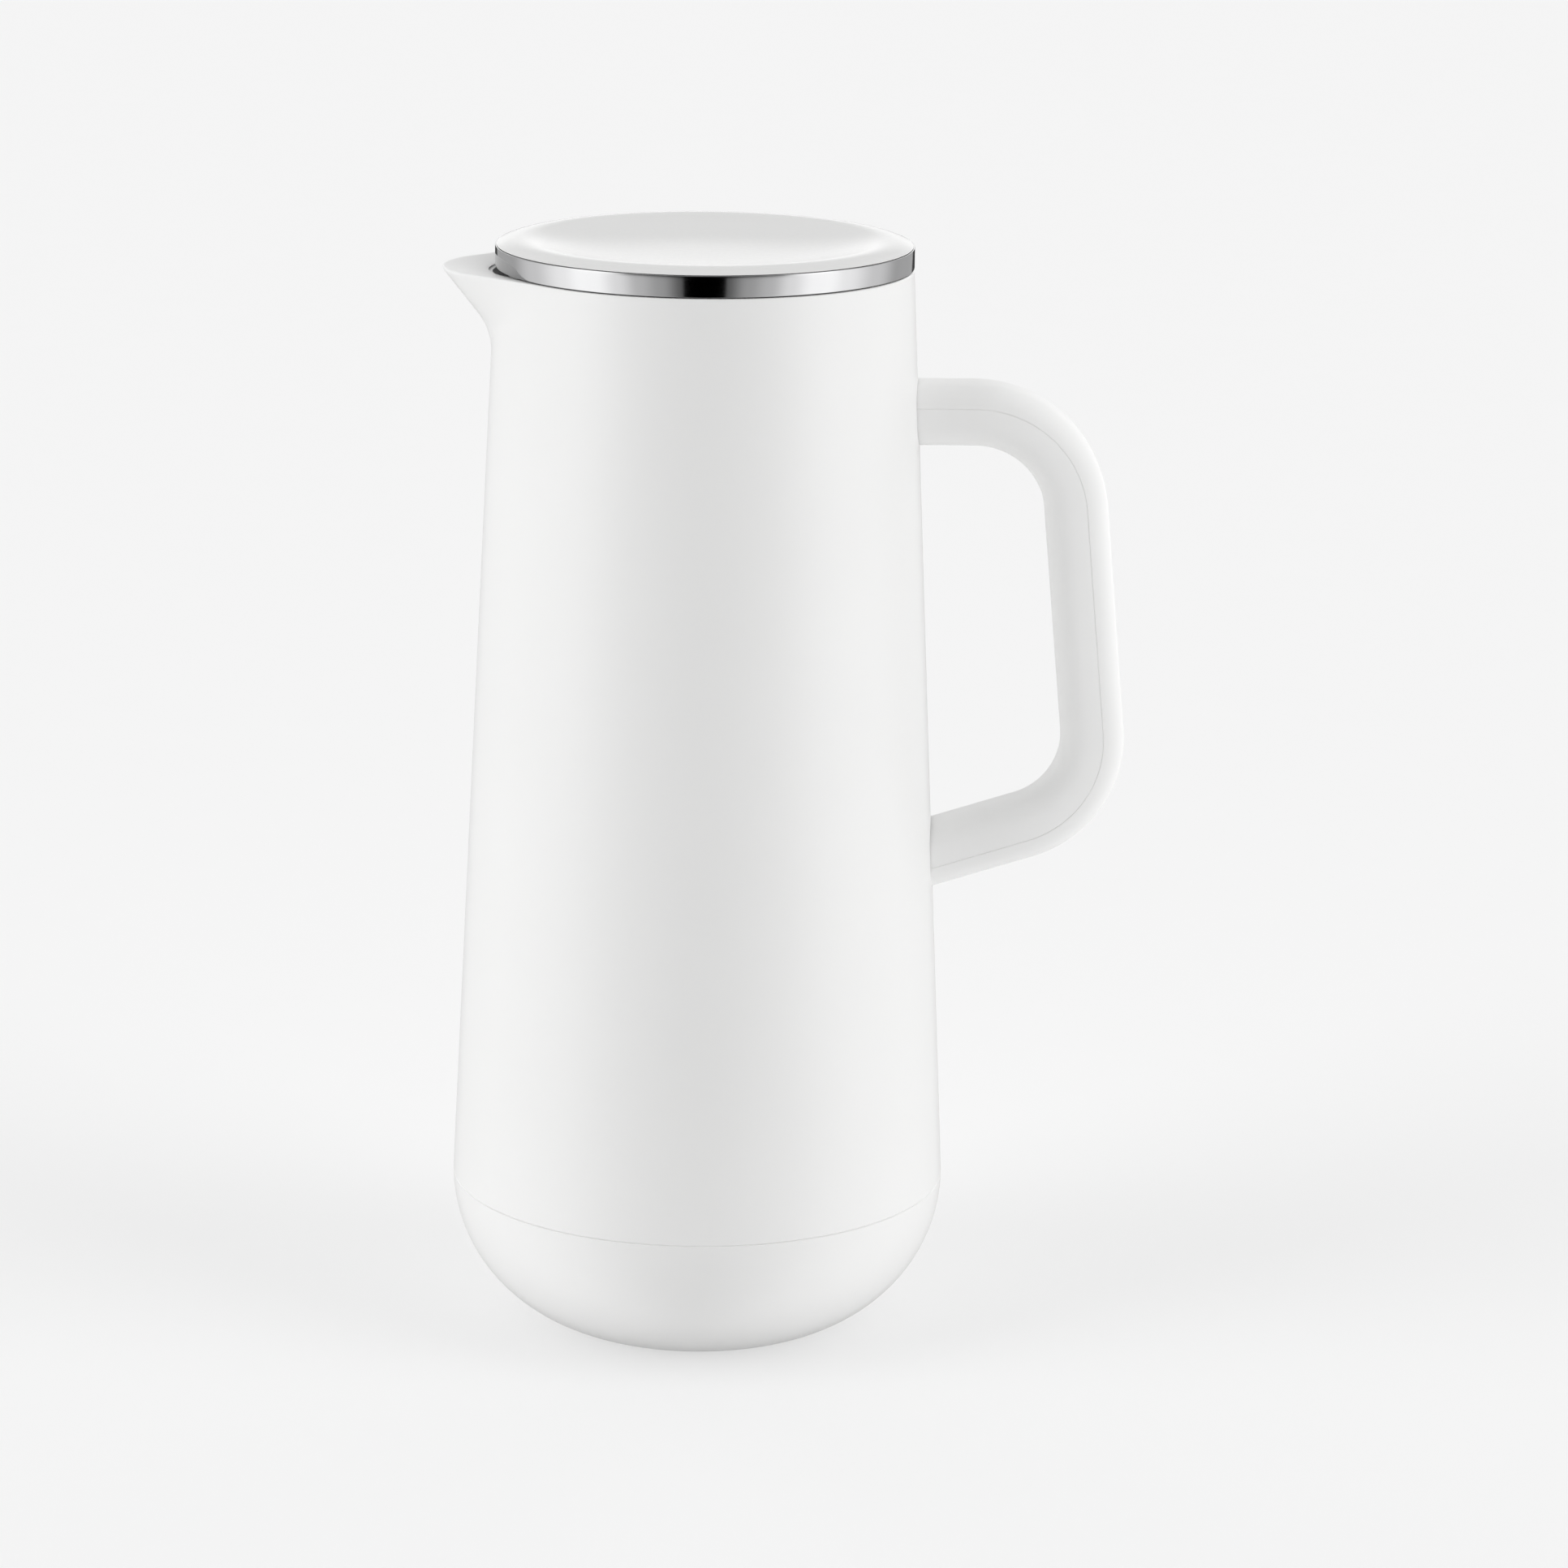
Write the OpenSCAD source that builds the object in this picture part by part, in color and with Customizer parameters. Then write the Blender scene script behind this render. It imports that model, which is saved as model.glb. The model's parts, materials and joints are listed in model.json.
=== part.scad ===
// Thermal carafe: a tapered white jug with a steel vacuum flask inside, a beak spout,
// a D handle and a stopper lid that is twisted to pour.
// Millimetres, +Z up, origin on the table under the middle of the foot, spout towards -X.

/* [Body] */
// Height of the rim above the table
rim_z = 278.2; // [255:0.1:305]
// Outer radius at the rim
rim_r = 53; // [50:0.1:58]
// Height of the seam between the body shell and the base cup
seam_z = 39; // [34:0.5:44]
// Outer radius at the seam, the widest place
seam_r = 64.4; // [60:0.1:72]
// Wall of the body shell
shell_wall = 2.4; // [1.8:0.1:3]
// Depth from the rim to the ledge that carries the lid
ledge_drop = 5.8; // [5.4:0.1:7]
// Thickness of that ledge
ledge_t = 2.4; // [1.8:0.1:3]
// Width of that ledge inside the wall
ledge_w = 5.6; // [4:0.1:7]
// Chamfer on each edge of the fine groove at the seam
seam_groove = 0.4; // [0.2:0.1:0.8]

/* [Spout] */
// How far the lip stands out past the rim
spout_reach = 13.9; // [11:0.1:16]
// Radius of the lip's tip, seen from above
spout_tip_r = 21; // [17:0.5:24]
// Lean of the spout's underside from the vertical, in degrees
spout_lean = 40; // [34:1:46]
// Radius of the hollow blend between the underside and the body
spout_blend_r = 16.5; // [12:0.5:20]
// Width of the lip's edge
lip_w = 1.8; // [1.6:0.1:2.4]
// Depth of the shallow basin behind the lip
basin_depth = 1.7; // [1.2:0.1:2.4]
// How far the basin's floor reaches past the rim
basin_reach = 4.5; // [3.5:0.1:5.5]
// Radius of the throat that falls from the basin into the jug
throat_r = 20; // [17:0.5:22]
// Depth of the throat's floor below the rim
trough_depth = 10.5; // [9:0.5:12]

/* [Base] */
// Radius of the flat under the base cup
foot_r = 38; // [36:0.5:42]
// Wall of the base cup
base_wall = 2.6; // [2:0.1:3.4]
// Height of the base cup's spigot inside the shell
spigot_h = 10; // [6:0.5:16]
// Wall of that spigot
spigot_wall = 2.4; // [1.8:0.1:3]
// Radius of the non-slip foot pad
pad_r = 34; // [28:0.5:35]
// Thickness of the foot pad
pad_t = 2.4; // [1.6:0.1:3.2]
// How far the foot pad stands proud of the base cup
pad_proud = 0.8; // [0.4:0.1:1.2]

/* [Handle] */
// Drop from the rim to the middle of the upper arm
handle_drop = 36.9; // [32:0.1:44]
// Height between the handle's two outer corners
handle_h = 102.3; // [92:0.1:112]
// Reach of the upper corner from the body's wall
handle_reach_top = 38.4; // [34:0.1:44]
// Reach of the lower corner from the body's wall
handle_reach_low = 43.3; // [38:0.1:48]
// Rise of the lower arm away from the body, in degrees
lower_arm_rise = 17.4; // [12:0.2:22]
// Radius of the upper bend, at the middle of the section
upper_bend_r = 26.6; // [22:0.1:30]
// Radius of the lower bend, at the middle of the section
lower_bend_r = 24.5; // [20:0.1:28]
// Thickness of the handle in its own plane
handle_t = 16; // [13:0.1:18]
// Width of the handle across that plane
handle_w = 18; // [15:0.1:22]
// Corner radius of the handle's section
handle_corner_r = 4.5; // [3:0.1:6]
// Wall of the handle's moulded channel
handle_wall = 2.8; // [2:0.1:3.4]
// Thickness of the cover strip along the outside
cover_t = 5.8; // [5:0.1:7]
// Depth of the seats in the body that the handle stands in
handle_seat = 1.2; // [0.6:0.1:1.6]
// Radius of the handle screws
screw_r = 2; // [1.5:0.1:2.5]

/* [Flask] */
// Thickness of the flask's steel
flask_wall = 0.6; // [0.4:0.1:1]
// Vacuum space between the two walls
vacuum_gap = 4.4; // [3:0.1:6]
// Room between the flask and the body shell at the mouth's height
flask_room = 5.2; // [4:0.1:8]
// Inside radius of the flask's mouth
mouth_r = 27; // [24:0.1:30]
// Height of the flask's neck
neck_h = 22; // [20:0.5:26]
// Gap between the two walls in the neck
neck_gap = 1.4; // [0.8:0.1:2]
// Corner radius at the bottom of the inner flask
liner_corner_r = 10; // [6:0.5:16]
// Height between the flask's two bottoms
bottom_gap = 8; // [6:0.5:12]
// Thickness of the cushion under the flask
cushion_t = 3; // [2:0.1:5]

/* [Collar] */
// Height of the pour collar
collar_h = 24.4; // [22:0.1:28]
// Wall of the pour collar
collar_wall = 2.6; // [2:0.1:3.4]
// Step from the flask's mouth out to the collar's threaded bore
bore_step = 7; // [6:0.1:8]
// Height of the collar's flared top
flare_h = 8; // [6:0.1:10]
// Thickness of each silicone sealing ring
ring_t = 1.6; // [1.2:0.1:2]

/* [Stopper] */
// Radial room between the stopper and its bore for their threads
thread_room = 2; // [1.6:0.1:2.6]
// Wall of the stopper
plug_wall = 2.6; // [2:0.1:3.4]
// Thickness of the stopper's top plate
plate_t = 2; // [1.6:0.1:2.4]
// Radial gap between the valve disc and the flask's mouth
pour_gap = 4.5; // [3.5:0.1:6]
// Width of the sealing land under the valve
seat_land = 4.5; // [3:0.1:6]
// Width of each pouring window
window_w = 14; // [9:0.5:16]

/* [Valve drive] */
// Radius of the valve stem
stem_r = 6; // [5:0.1:7]
// Wall of the guide tube round the stem
guide_wall = 2.6; // [2:0.1:3.2]
// Wall of the cam sleeve round the guide tube
sleeve_wall = 3; // [2.4:0.1:3.6]
// Radius of the cross pin
pin_r = 1.5; // [1.2:0.1:1.8]
// Drop of the valve when the cap is twisted fully open
valve_drop = 6; // [4:0.1:7]
// Twist of the cap from closed to open, in degrees
cap_twist = 90; // [70:1:110]

/* [Lid] */
// Height of the polished band
band_h = 5.3; // [4.5:0.1:6.5]
// Thickness of the band's steel
band_t = 0.9; // [0.6:0.1:1.2]
// Shadow gap between the rim and the band
lid_gap = 0.3; // [0.2:0.1:0.6]
// Height of the cap's crest above the band
cap_rise = 1.6; // [1.5:0.1:2]
// How far the cap's crest lies inside the rim
crest_inset = 6.4; // [5.4:0.1:6.6]
// Radius of the cap's round edge
cap_roll_r = 14; // [13:0.5:18]
// Depth of the cap's dish below the crest
dish_depth = 3.9; // [3:0.1:4.2]
// Steepest slope of the dish, in degrees
dish_slope = 15; // [12:0.75:18]
// Wall of the cap
cap_wall = 2.2; // [1.6:0.1:2.4]

/* [Clearances] */
// Gap between fixed pieces that slip together
slip = 0.3; // [0.2:0.05:0.4]
// Radial running clearance of a turning or sliding fit
running = 0.08; // [0.04:0.01:0.1]
// Gap between two sealing faces that part when the lid moves
seal_gap = 0.1; // [0.05:0.05:0.2]
// Free gap between moving pieces that don't touch
free_gap = 0.6; // [0.4:0.1:0.8]

/* [Hidden] */
$fn = 96;
hull_fn = 40;
dish_fn = 480;
eps = 0.01;
over = 2;

// Body cone
taper = (seam_r - rim_r) / (rim_z - seam_z);
function body_r(z) = rim_r + (rim_z - z) * taper;
function shell_in_r(z) = body_r(z) - shell_wall;
ledge_top_z = rim_z - ledge_drop;
ledge_in_r = shell_in_r(rim_z) - ledge_w;

// Spout profile: a straight underside, then a hollow arc down to the wall
blend_steps = 4;
blend_out = spout_blend_r * (1 - cos(spout_lean));
straight_drop = (spout_reach - blend_out) / tan(spout_lean);
core_inset = 0.6;
spout_stations = concat([[0, spout_reach]], [for (i = [0 : blend_steps])
    let (a = spout_lean * (1 - i / blend_steps))
    [straight_drop + spout_blend_r * (sin(spout_lean) - sin(a)),
     spout_blend_r * (1 - cos(a)) - (i == blend_steps ? core_inset : 0)]]);
well_h = trough_depth / 2;

// Base cup: an arc that leaves the seam upright and meets the foot
base_arc_r = (pow(seam_r - foot_r, 2) + pow(seam_z - pad_proud, 2)) / (2 * (seam_r - foot_r));
base_arc_x = seam_r - base_arc_r;
base_in_arc_r = base_arc_r - base_wall;
floor_z = pad_t + base_wall;
spigot_r = shell_in_r(seam_z + spigot_h) - slip;
spigot_root = 8;

// Heights that stack down from the rim to the flask's lip
collar_top_z = ledge_top_z - ledge_t;
collar_low_z = collar_top_z - collar_h;
lip_z = collar_low_z - ring_t;

// Flask
flask_r = shell_in_r(lip_z) - flask_room;
liner_out_r = flask_r - flask_wall - vacuum_gap;
liner_r = liner_out_r - flask_wall;
shoulder_z = lip_z - neck_h - (liner_r - mouth_r);
jacket_neck_r = mouth_r + flask_wall + neck_gap;
jacket_out_neck_r = jacket_neck_r + flask_wall;
jacket_shoulder_z = shoulder_z + flask_wall + neck_gap;
seat_reach = flask_r + cushion_t - base_arc_x;
flask_low_z = max(floor_z + cushion_t, seam_z - sqrt(pow(base_in_arc_r, 2) - pow(seat_reach, 2)));
liner_low_z = flask_low_z + bottom_gap;
cushion_w = 12;
cushion_lip = 8;
base_flange_h = 3;
plug_hole_r = 3;
plug_head_r = 5;
getter_r = 7;
getter_t = 2;

// Collar and stopper
bore_r = mouth_r + bore_step;
collar_floor_z = collar_low_z + collar_wall;
flare_low_z = collar_top_z - flare_h;
collar_out_r = shell_in_r(collar_top_z) - slip;
collar_band_h = 5;
neck_skirt_h = 9;
plug_r = bore_r - thread_room;
plug_low_z = collar_floor_z + ring_t + seal_gap;
plate_low_z = ledge_top_z + ring_t + seal_gap;
plate_top_z = plate_low_z + plate_t;
lid_clear = 1;
plate_r = shell_in_r(rim_z) - lid_clear;
valve_r = mouth_r - pour_gap;
seat_r = valve_r - seat_land;
spoke_w = 4;
spokes = 3;
window_angles = [-42, 0, 42];
window_margin = 1.5;

// Valve drive
stem_bore_r = stem_r + running;
guide_r = stem_bore_r + guide_wall;
sleeve_in_r = guide_r + slip;
sleeve_r = sleeve_in_r + sleeve_wall;
bearing_wall = 3;
bearing_h = 4;
bearing_low_z = plate_low_z - bearing_h;
clip_t = 1;
clip_groove = 0.8;
clip_w = 3;
clip_top_z = bearing_low_z - seal_gap;
sleeve_low_z = plug_low_z + plug_wall + free_gap;
slot_half = pin_r + slip;
slot_margin = 1.6;
pin_z = clip_top_z - clip_t - slot_margin - slot_half;
stem_top_z = pin_z + 3 * pin_r;
seal_top_z = plug_low_z - seal_gap;
disc_top_z = seal_top_z - ring_t;
disc_t = 4;
disc_low_z = disc_top_z - disc_t;
valve_screw_r = 2;
valve_screw_head_h = 1.6;
valve_screw_len = 14;

// Lid
band_low_z = rim_z + lid_gap;
band_top_z = band_low_z + band_h;
cap_top_z = band_top_z + cap_rise;
cap_edge_gap = 0.15;
cap_setback = 0.3;
cap_out_r = rim_r - cap_setback;
cap_wall_r = rim_r - band_t - running;
// The dish: a flat middle, then a hollow arc that turns into the round edge
crest_r = rim_r - crest_inset;
dish_z = cap_top_z - dish_depth;
dish_arc_r = dish_depth / (1 - cos(dish_slope)) - cap_roll_r;
dish_turn_r = crest_r - cap_roll_r * sin(dish_slope);
dish_flat_r = dish_turn_r - dish_arc_r * sin(dish_slope);
cap_hollow_z = band_top_z - cap_wall / 2;
hem_t = 0.6;
hem_w = 2.2;
skirt_r = shell_in_r(rim_z) - free_gap;
skirt_low_z = plate_top_z + free_gap;
cap_seat_z = dish_z - cap_wall;
sleeve_flange_r = 20;
sleeve_flange_low_z = plate_top_z + seal_gap;

// Handle path in the plane Y = 0: two arms and a grip, with round bends at two corners
handle_top_z = rim_z - handle_drop;
handle_low_z = handle_top_z - handle_h;
corner_top = [body_r(handle_top_z) + handle_reach_top, handle_top_z];
corner_low = [body_r(handle_low_z) + handle_reach_low, handle_low_z];
grip_dir = atan2(corner_low[1] - corner_top[1], corner_low[0] - corner_top[0]);
upper_turn = -grip_dir;
lower_turn = 180 - lower_arm_rise - upper_turn;
upper_setback = upper_bend_r * tan(upper_turn / 2);
lower_setback = lower_bend_r * tan(lower_turn / 2);
function along(p, dir, d) = [p[0] + d * cos(dir), p[1] + d * sin(dir)];
upper_start = along(corner_top, 0, -upper_setback);
grip_end = along(corner_low, grip_dir, -lower_setback);
upper_centre = along(upper_start, -90, upper_bend_r);
lower_centre = along(grip_end, grip_dir - 90, lower_bend_r);
// Where the two arms' middle lines meet the body's wall
upper_root = [body_r(handle_top_z), handle_top_z];
arm_slope = tan(lower_arm_rise);
lower_root_x = (rim_r + taper * (rim_z - corner_low[1] + corner_low[0] * arm_slope))
    / (1 + taper * arm_slope);
lower_root = [lower_root_x, corner_low[1] + (lower_root_x - corner_low[0]) * arm_slope];
root_depth = 10;
boss_len = 10;
bend_steps = 10;
corner_steps = 4;
lower_arm_dir = 180 + lower_arm_rise;
cover_split = handle_t / 2 - cover_t;
parting_groove = 0.5;
channel_w = handle_w - 2 * handle_wall;
tongue_h = 1.6;
grip_floor = cover_split - tongue_h - slip;
screw_pad_r = 6;
screw_pad_h = 6;
screw_head_r = 3.6;
screw_head_h = 2.4;
// Stations round the two bends, from a first step on: a point and a direction
function bend_stations(first) = concat(
    [for (i = [first : bend_steps])
        let (dir = -upper_turn * i / bend_steps)
        [along(upper_centre, dir + 90, upper_bend_r), dir]],
    [for (i = [first : bend_steps])
        let (dir = grip_dir - lower_turn * i / bend_steps)
        [along(lower_centre, dir + 90, lower_bend_r), dir]]);
// Stations of the two arms at a distance from their roots
function upper_station(d) = [along(upper_root, 0, d), 0];
function lower_station(d) = [along(lower_root, lower_arm_rise, d), lower_arm_dir];
handle_stations = concat([upper_station(-root_depth)], bend_stations(0), [lower_station(-root_depth)]);
// The channel's stations lie between those of the outside, and its floor is higher at both ends
hollow_start = boss_len + handle_wall / 2;
hollow_stations = concat([upper_station(hollow_start)], bend_stations(0.5),
    [lower_station(hollow_start)]);
channel_stations = concat(
    [upper_station(-root_depth - over), upper_station(boss_len)], hollow_stations,
    [lower_station(boss_len), lower_station(-root_depth - over)]);

// Shapes that several pieces share

// The body's outer cone, drawn in by an inset
module body_cone(inset) {
    translate([0, 0, seam_z])
        cylinder(h = rim_z - seam_z, r1 = seam_r - inset, r2 = rim_r - inset);
}

// Half profile of a bowl below the seam: a round side that turns into a flat middle
module bowl_profile(r) {
    translate([base_arc_x, seam_z])
        circle(r);
    square([base_arc_x, seam_z]);
}

// A ring from one radius to another between two heights
module ring(r_in, r_out, z_low, z_high) {
    translate([0, 0, z_low])
        difference() {
            cylinder(h = z_high - z_low, r = r_out);
            translate([0, 0, -over])
                cylinder(h = z_high - z_low + 2 * over, r = r_in);
        }
}

// A bottle's filled half profile: body with a round or sharp bottom edge, domed shoulder and neck
module bottle(r, neck, dome_x, low, shoulder, top, corner = 0) {
    translate([0, low + corner])
        square([r, shoulder - low - corner]);
    if (corner > 0) {
        translate([0, low])
            square([r - corner, 2 * corner]);
        translate([r - corner, low + corner])
            circle(corner);
    }
    translate([dome_x, shoulder])
        circle(r - dome_x);
    translate([0, shoulder])
        square([neck, top - shoulder]);
}

// One level of the spout: a thin disc at its tip and one inside the body
module spout_level(station) {
    z = rim_z - station[0];
    translate([-(body_r(z) + station[1] - spout_tip_r), 0, z - eps])
        cylinder(h = eps, r = spout_tip_r, $fn = hull_fn);
    translate([0, 0, z - eps])
        cylinder(h = eps, r = body_r(z) - core_inset, $fn = 2 * hull_fn);
}

// The beak's solid, from the rim down to where it fades into the wall
module beak() {
    for (i = [0 : len(spout_stations) - 2])
        hull() {
            spout_level(spout_stations[i]);
            spout_level(spout_stations[i + 1]);
        }
}

// A disc of the trough whose far side reaches a radius, at a depth below the rim
module trough_disc(far_r, r, depth, h = eps) {
    translate([r - far_r, 0, rim_z - depth])
        cylinder(h = h, r = r, $fn = hull_fn);
}

// The trough that leads from inside the rim out to the lip
module trough() {
    // Shallow basin behind the lip
    hull() {
        trough_disc(rim_r + spout_reach - lip_w, spout_tip_r - lip_w, 0, over);
        translate([0, 0, rim_z])
            cylinder(h = over, r = shell_in_r(rim_z) - eps, $fn = 2 * hull_fn);
        trough_disc(rim_r + basin_reach + slip, throat_r + slip, basin_depth);
    }
    // Throat: a round well that narrows to the jug's wall
    translate([throat_r - rim_r - basin_reach, 0, rim_z - trough_depth]) {
        cylinder(h = well_h, r1 = throat_r - rim_r - basin_reach + shell_in_r(rim_z), r2 = throat_r);
        translate([0, 0, well_h])
            cylinder(h = trough_depth - well_h + over / 2, r = throat_r);
    }
}

// A rounded rectangle, middle at the origin
module rounded(w, h, r) {
    square([w - 2 * r, h], center = true);
    square([w, h - 2 * r], center = true);
    for (x = [-1, 1], y = [-1, 1])
        translate([x * (w / 2 - r), y * (h / 2 - r)])
            circle(r);
}

// Handle section: x points out of the loop, y runs across the handle
module handle_outline(grow = 0) {
    rounded(handle_t + 2 * grow, handle_w + 2 * grow, handle_corner_r + grow);
}

// Points round one corner of that section
function corner_arc(side_x, side_y, from) = [for (i = [0 : corner_steps])
    let (a = from + 90 * i / corner_steps)
    [side_x * (handle_t / 2 - handle_corner_r) + handle_corner_r * cos(a),
     side_y * (handle_w / 2 - handle_corner_r) + handle_corner_r * sin(a)]];

// Section of the moulded grip, flat where the cover strip lies on it
function grip_section() = concat([[cover_split, -handle_w / 2], [cover_split, handle_w / 2]],
    corner_arc(-1, 1, 90), corner_arc(-1, -1, 180));

// Section of the channel in the grip, from a floor out past the flat
function channel_section(floor_x) = [[floor_x, -channel_w / 2], [cover_split + over, -channel_w / 2],
    [cover_split + over, channel_w / 2], [floor_x, channel_w / 2]];

// Section of the cover strip, with a tongue in the channel and a fine groove along its edge
function cover_section() =
    let (edge = cover_split + parting_groove,
        land = handle_w / 2 - parting_groove,
        tongue = channel_w / 2 - slip,
        tongue_x = cover_split - tongue_h)
    concat([[edge, -handle_w / 2]], corner_arc(1, -1, 270), corner_arc(1, 1, 0),
        [[edge, handle_w / 2], [edge, land], [cover_split, land], [cover_split, tongue],
         [tongue_x, tongue], [tongue_x, -tongue], [cover_split, -tongue],
         [cover_split, -land], [edge, -land]]);

// Loft a list of sections, one for each station
module handle_loft(stations, sections) {
    n = len(sections[0]);
    last = len(sections) - 1;
    points = [for (i = [0 : last], s = sections[i])
        let (p = along(stations[i][0], stations[i][1] + 90, s[0]))
        [p[0], s[1], p[1]]];
    sides = [for (i = [0 : last - 1], k = [0 : n - 1])
        let (a = i * n + k, b = i * n + (k + 1) % n)
        each [[a, b, b + n], [a, b + n, a + n]]];
    polyhedron(points, concat([[for (k = [n - 1 : -1 : 0]) k]], sides,
        [[for (k = [0 : n - 1]) last * n + k]]));
}

// Stand at a point of the handle's plane, looking along a direction in that plane
module handle_place(p, dir) {
    translate([p[0], 0, p[1]])
        rotate([0, 90 - dir, 0])
            rotate([0, 0, 180])
                children();
}

// Do something at both roots, with z pointing out along the arm and x out of the loop
module at_roots() {
    handle_place(upper_root, 0)
        children();
    handle_place(lower_root, lower_arm_rise)
        rotate([0, 0, 180])
            children();
}

// Do something on the handle screws' lines, in the middle of the grip's solid ends
module at_screws() {
    at_roots()
        translate([(grip_floor - handle_t / 2) / 2, 0, 0])
            children();
}

// A helical slot through the cam sleeve that carries the cross pin down as the cap turns
module cam_slot() {
    steps = 14;
    run_on = asin(slot_half / sleeve_in_r);
    half_h = slot_half / cos(atan2(valve_drop, sleeve_in_r * cap_twist * PI / 180));
    corners = [[guide_r - over, -half_h], [guide_r - over, half_h],
        [sleeve_r + over, half_h], [sleeve_r + over, -half_h]];
    points = [for (i = [0 : steps], c = corners)
        let (a = run_on - (cap_twist + 2 * run_on) * i / steps)
        [c[0] * cos(a), c[0] * sin(a), pin_z + valve_drop * a / cap_twist + c[1]]];
    sides = [for (i = [0 : steps - 1], k = [0 : 3])
        let (a = 4 * i + k, b = 4 * i + (k + 1) % 4)
        each [[a, b, b + 4], [a, b + 4, a + 4]]];
    last = 4 * steps;
    polyhedron(points, concat([[3, 2, 1, 0]], sides,
        [[last, last + 1, last + 2, last + 3]]));
}

// Jug

module body_shell() {
    color("white")
        difference() {
            union() {
                difference() {
                    union() {
                        body_cone(0);
                        beak();
                    }
                    translate([0, 0, seam_z - over])
                        cylinder(h = rim_z - seam_z + 2 * over,
                            r1 = shell_in_r(seam_z - over), r2 = shell_in_r(rim_z + over));
                }
                ring(ledge_in_r, shell_in_r(ledge_top_z) + shell_wall / 2,
                    ledge_top_z - ledge_t, ledge_top_z);
                intersection() {
                    body_cone(shell_wall / 2);
                    at_screws()
                        translate([0, 0, -screw_pad_h])
                            cylinder(h = screw_pad_h + over, r = screw_pad_r);
                }
            }
            trough();
            difference() {
                at_roots()
                    translate([0, 0, -root_depth])
                        linear_extrude(2 * root_depth)
                            handle_outline(slip);
                body_cone(handle_seat);
            }
            at_screws()
                translate([0, 0, -root_depth])
                    cylinder(h = 2 * root_depth, r = screw_r + slip);
            // Chamfer that makes the upper half of the seam's groove
            translate([0, 0, seam_z - eps])
                difference() {
                    cylinder(h = seam_groove, r = seam_r + over);
                    cylinder(h = seam_groove, r1 = seam_r - seam_groove, r2 = seam_r);
                }
        }
}

module base_cup() {
    color("white")
        rotate_extrude()
            difference() {
                union() {
                    intersection() {
                        bowl_profile(base_arc_r);
                        difference() {
                            translate([0, pad_proud])
                                square([seam_r + over, seam_z - pad_proud]);
                            // Chamfer that makes the lower half of the seam's groove
                            polygon([[seam_r - seam_groove, seam_z + eps],
                                [seam_r + over, seam_z + eps], [seam_r + over, seam_z - seam_groove],
                                [seam_r, seam_z - seam_groove]]);
                        }
                    }
                    translate([spigot_r - spigot_wall, seam_z - spigot_root])
                        square([spigot_wall, spigot_root + spigot_h]);
                }
                difference() {
                    intersection() {
                        bowl_profile(base_in_arc_r);
                        translate([0, floor_z])
                            square([seam_r, seam_z - floor_z + over]);
                    }
                    // The spigot's root stays solid
                    translate([spigot_r - spigot_wall, seam_z - spigot_root])
                        square([seam_r, spigot_root]);
                    translate([spigot_r - spigot_wall, seam_z])
                        square([spigot_wall, spigot_h]);
                }
                square([pad_r + slip, pad_t]);
            }
}

module foot_pad() {
    color("gray")
        cylinder(h = pad_t, r = pad_r);
}

module handle_grip() {
    solid_end = channel_section(grip_floor);
    hollow = channel_section(handle_wall - handle_t / 2);
    color("white")
        difference() {
            handle_loft(handle_stations, [for (station = handle_stations) grip_section()]);
            handle_loft(channel_stations, concat([solid_end, solid_end],
                [for (station = hollow_stations) hollow], [solid_end, solid_end]));
            body_cone(handle_seat - seal_gap);
            at_screws()
                translate([0, 0, -root_depth])
                    cylinder(h = root_depth + boss_len, r = screw_r);
        }
}

module handle_cover() {
    color("white")
        difference() {
            handle_loft(handle_stations, [for (station = handle_stations) cover_section()]);
            body_cone(handle_seat - seal_gap);
        }
}

module handle_screws() {
    color("silver")
        at_screws() {
            translate([0, 0, -screw_pad_h - screw_head_h])
                cylinder(h = screw_head_h, r = screw_head_r);
            translate([0, 0, -screw_pad_h - eps])
                cylinder(h = screw_pad_h + boss_len - over, r = screw_r - running);
        }
}

// Vacuum flask

module flask_liner() {
    color("silver")
        rotate_extrude()
            difference() {
                union() {
                    bottle(liner_out_r, mouth_r + flask_wall, mouth_r,
                        liner_low_z - flask_wall, shoulder_z, lip_z, liner_corner_r + flask_wall);
                    translate([0, lip_z - flask_wall])
                        square([jacket_out_neck_r, flask_wall]);
                }
                bottle(liner_r, mouth_r, mouth_r, liner_low_z, shoulder_z, lip_z + over,
                    liner_corner_r);
            }
}

module flask_jacket() {
    color("silver")
        rotate_extrude()
            difference() {
                bottle(flask_r, jacket_out_neck_r, jacket_neck_r,
                    flask_low_z, jacket_shoulder_z, lip_z - flask_wall);
                bottle(flask_r - flask_wall, jacket_neck_r, jacket_neck_r,
                    flask_low_z - over, jacket_shoulder_z, lip_z + over);
            }
}

module flask_base() {
    rim = flask_r - flask_wall - running;
    color("silver") {
        ring(plug_hole_r, rim, flask_low_z + base_flange_h - flask_wall, flask_low_z + base_flange_h);
        ring(rim - flask_wall, rim, flask_low_z, flask_low_z + base_flange_h - flask_wall);
    }
}

module vacuum_plug() {
    head_z = flask_low_z + base_flange_h - flask_wall;
    color("dimgray") {
        translate([0, 0, head_z - flask_wall])
            cylinder(h = flask_wall, r = plug_head_r);
        translate([0, 0, head_z])
            cylinder(h = 2 * flask_wall, r = plug_hole_r - running);
    }
}

module getter() {
    color("dimgray")
        translate([0, 0, liner_low_z - flask_wall - getter_t])
            cylinder(h = getter_t, r = getter_r);
}

module flask_cushion() {
    color("gray")
        rotate_extrude()
            difference() {
                intersection() {
                    bowl_profile(base_in_arc_r - slip);
                    translate([flask_r - cushion_w, floor_z])
                        square([cushion_w + cushion_t, flask_low_z + cushion_lip - floor_z]);
                }
                translate([0, flask_low_z])
                    square([flask_r + slip, cushion_lip + over]);
            }
}

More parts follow.
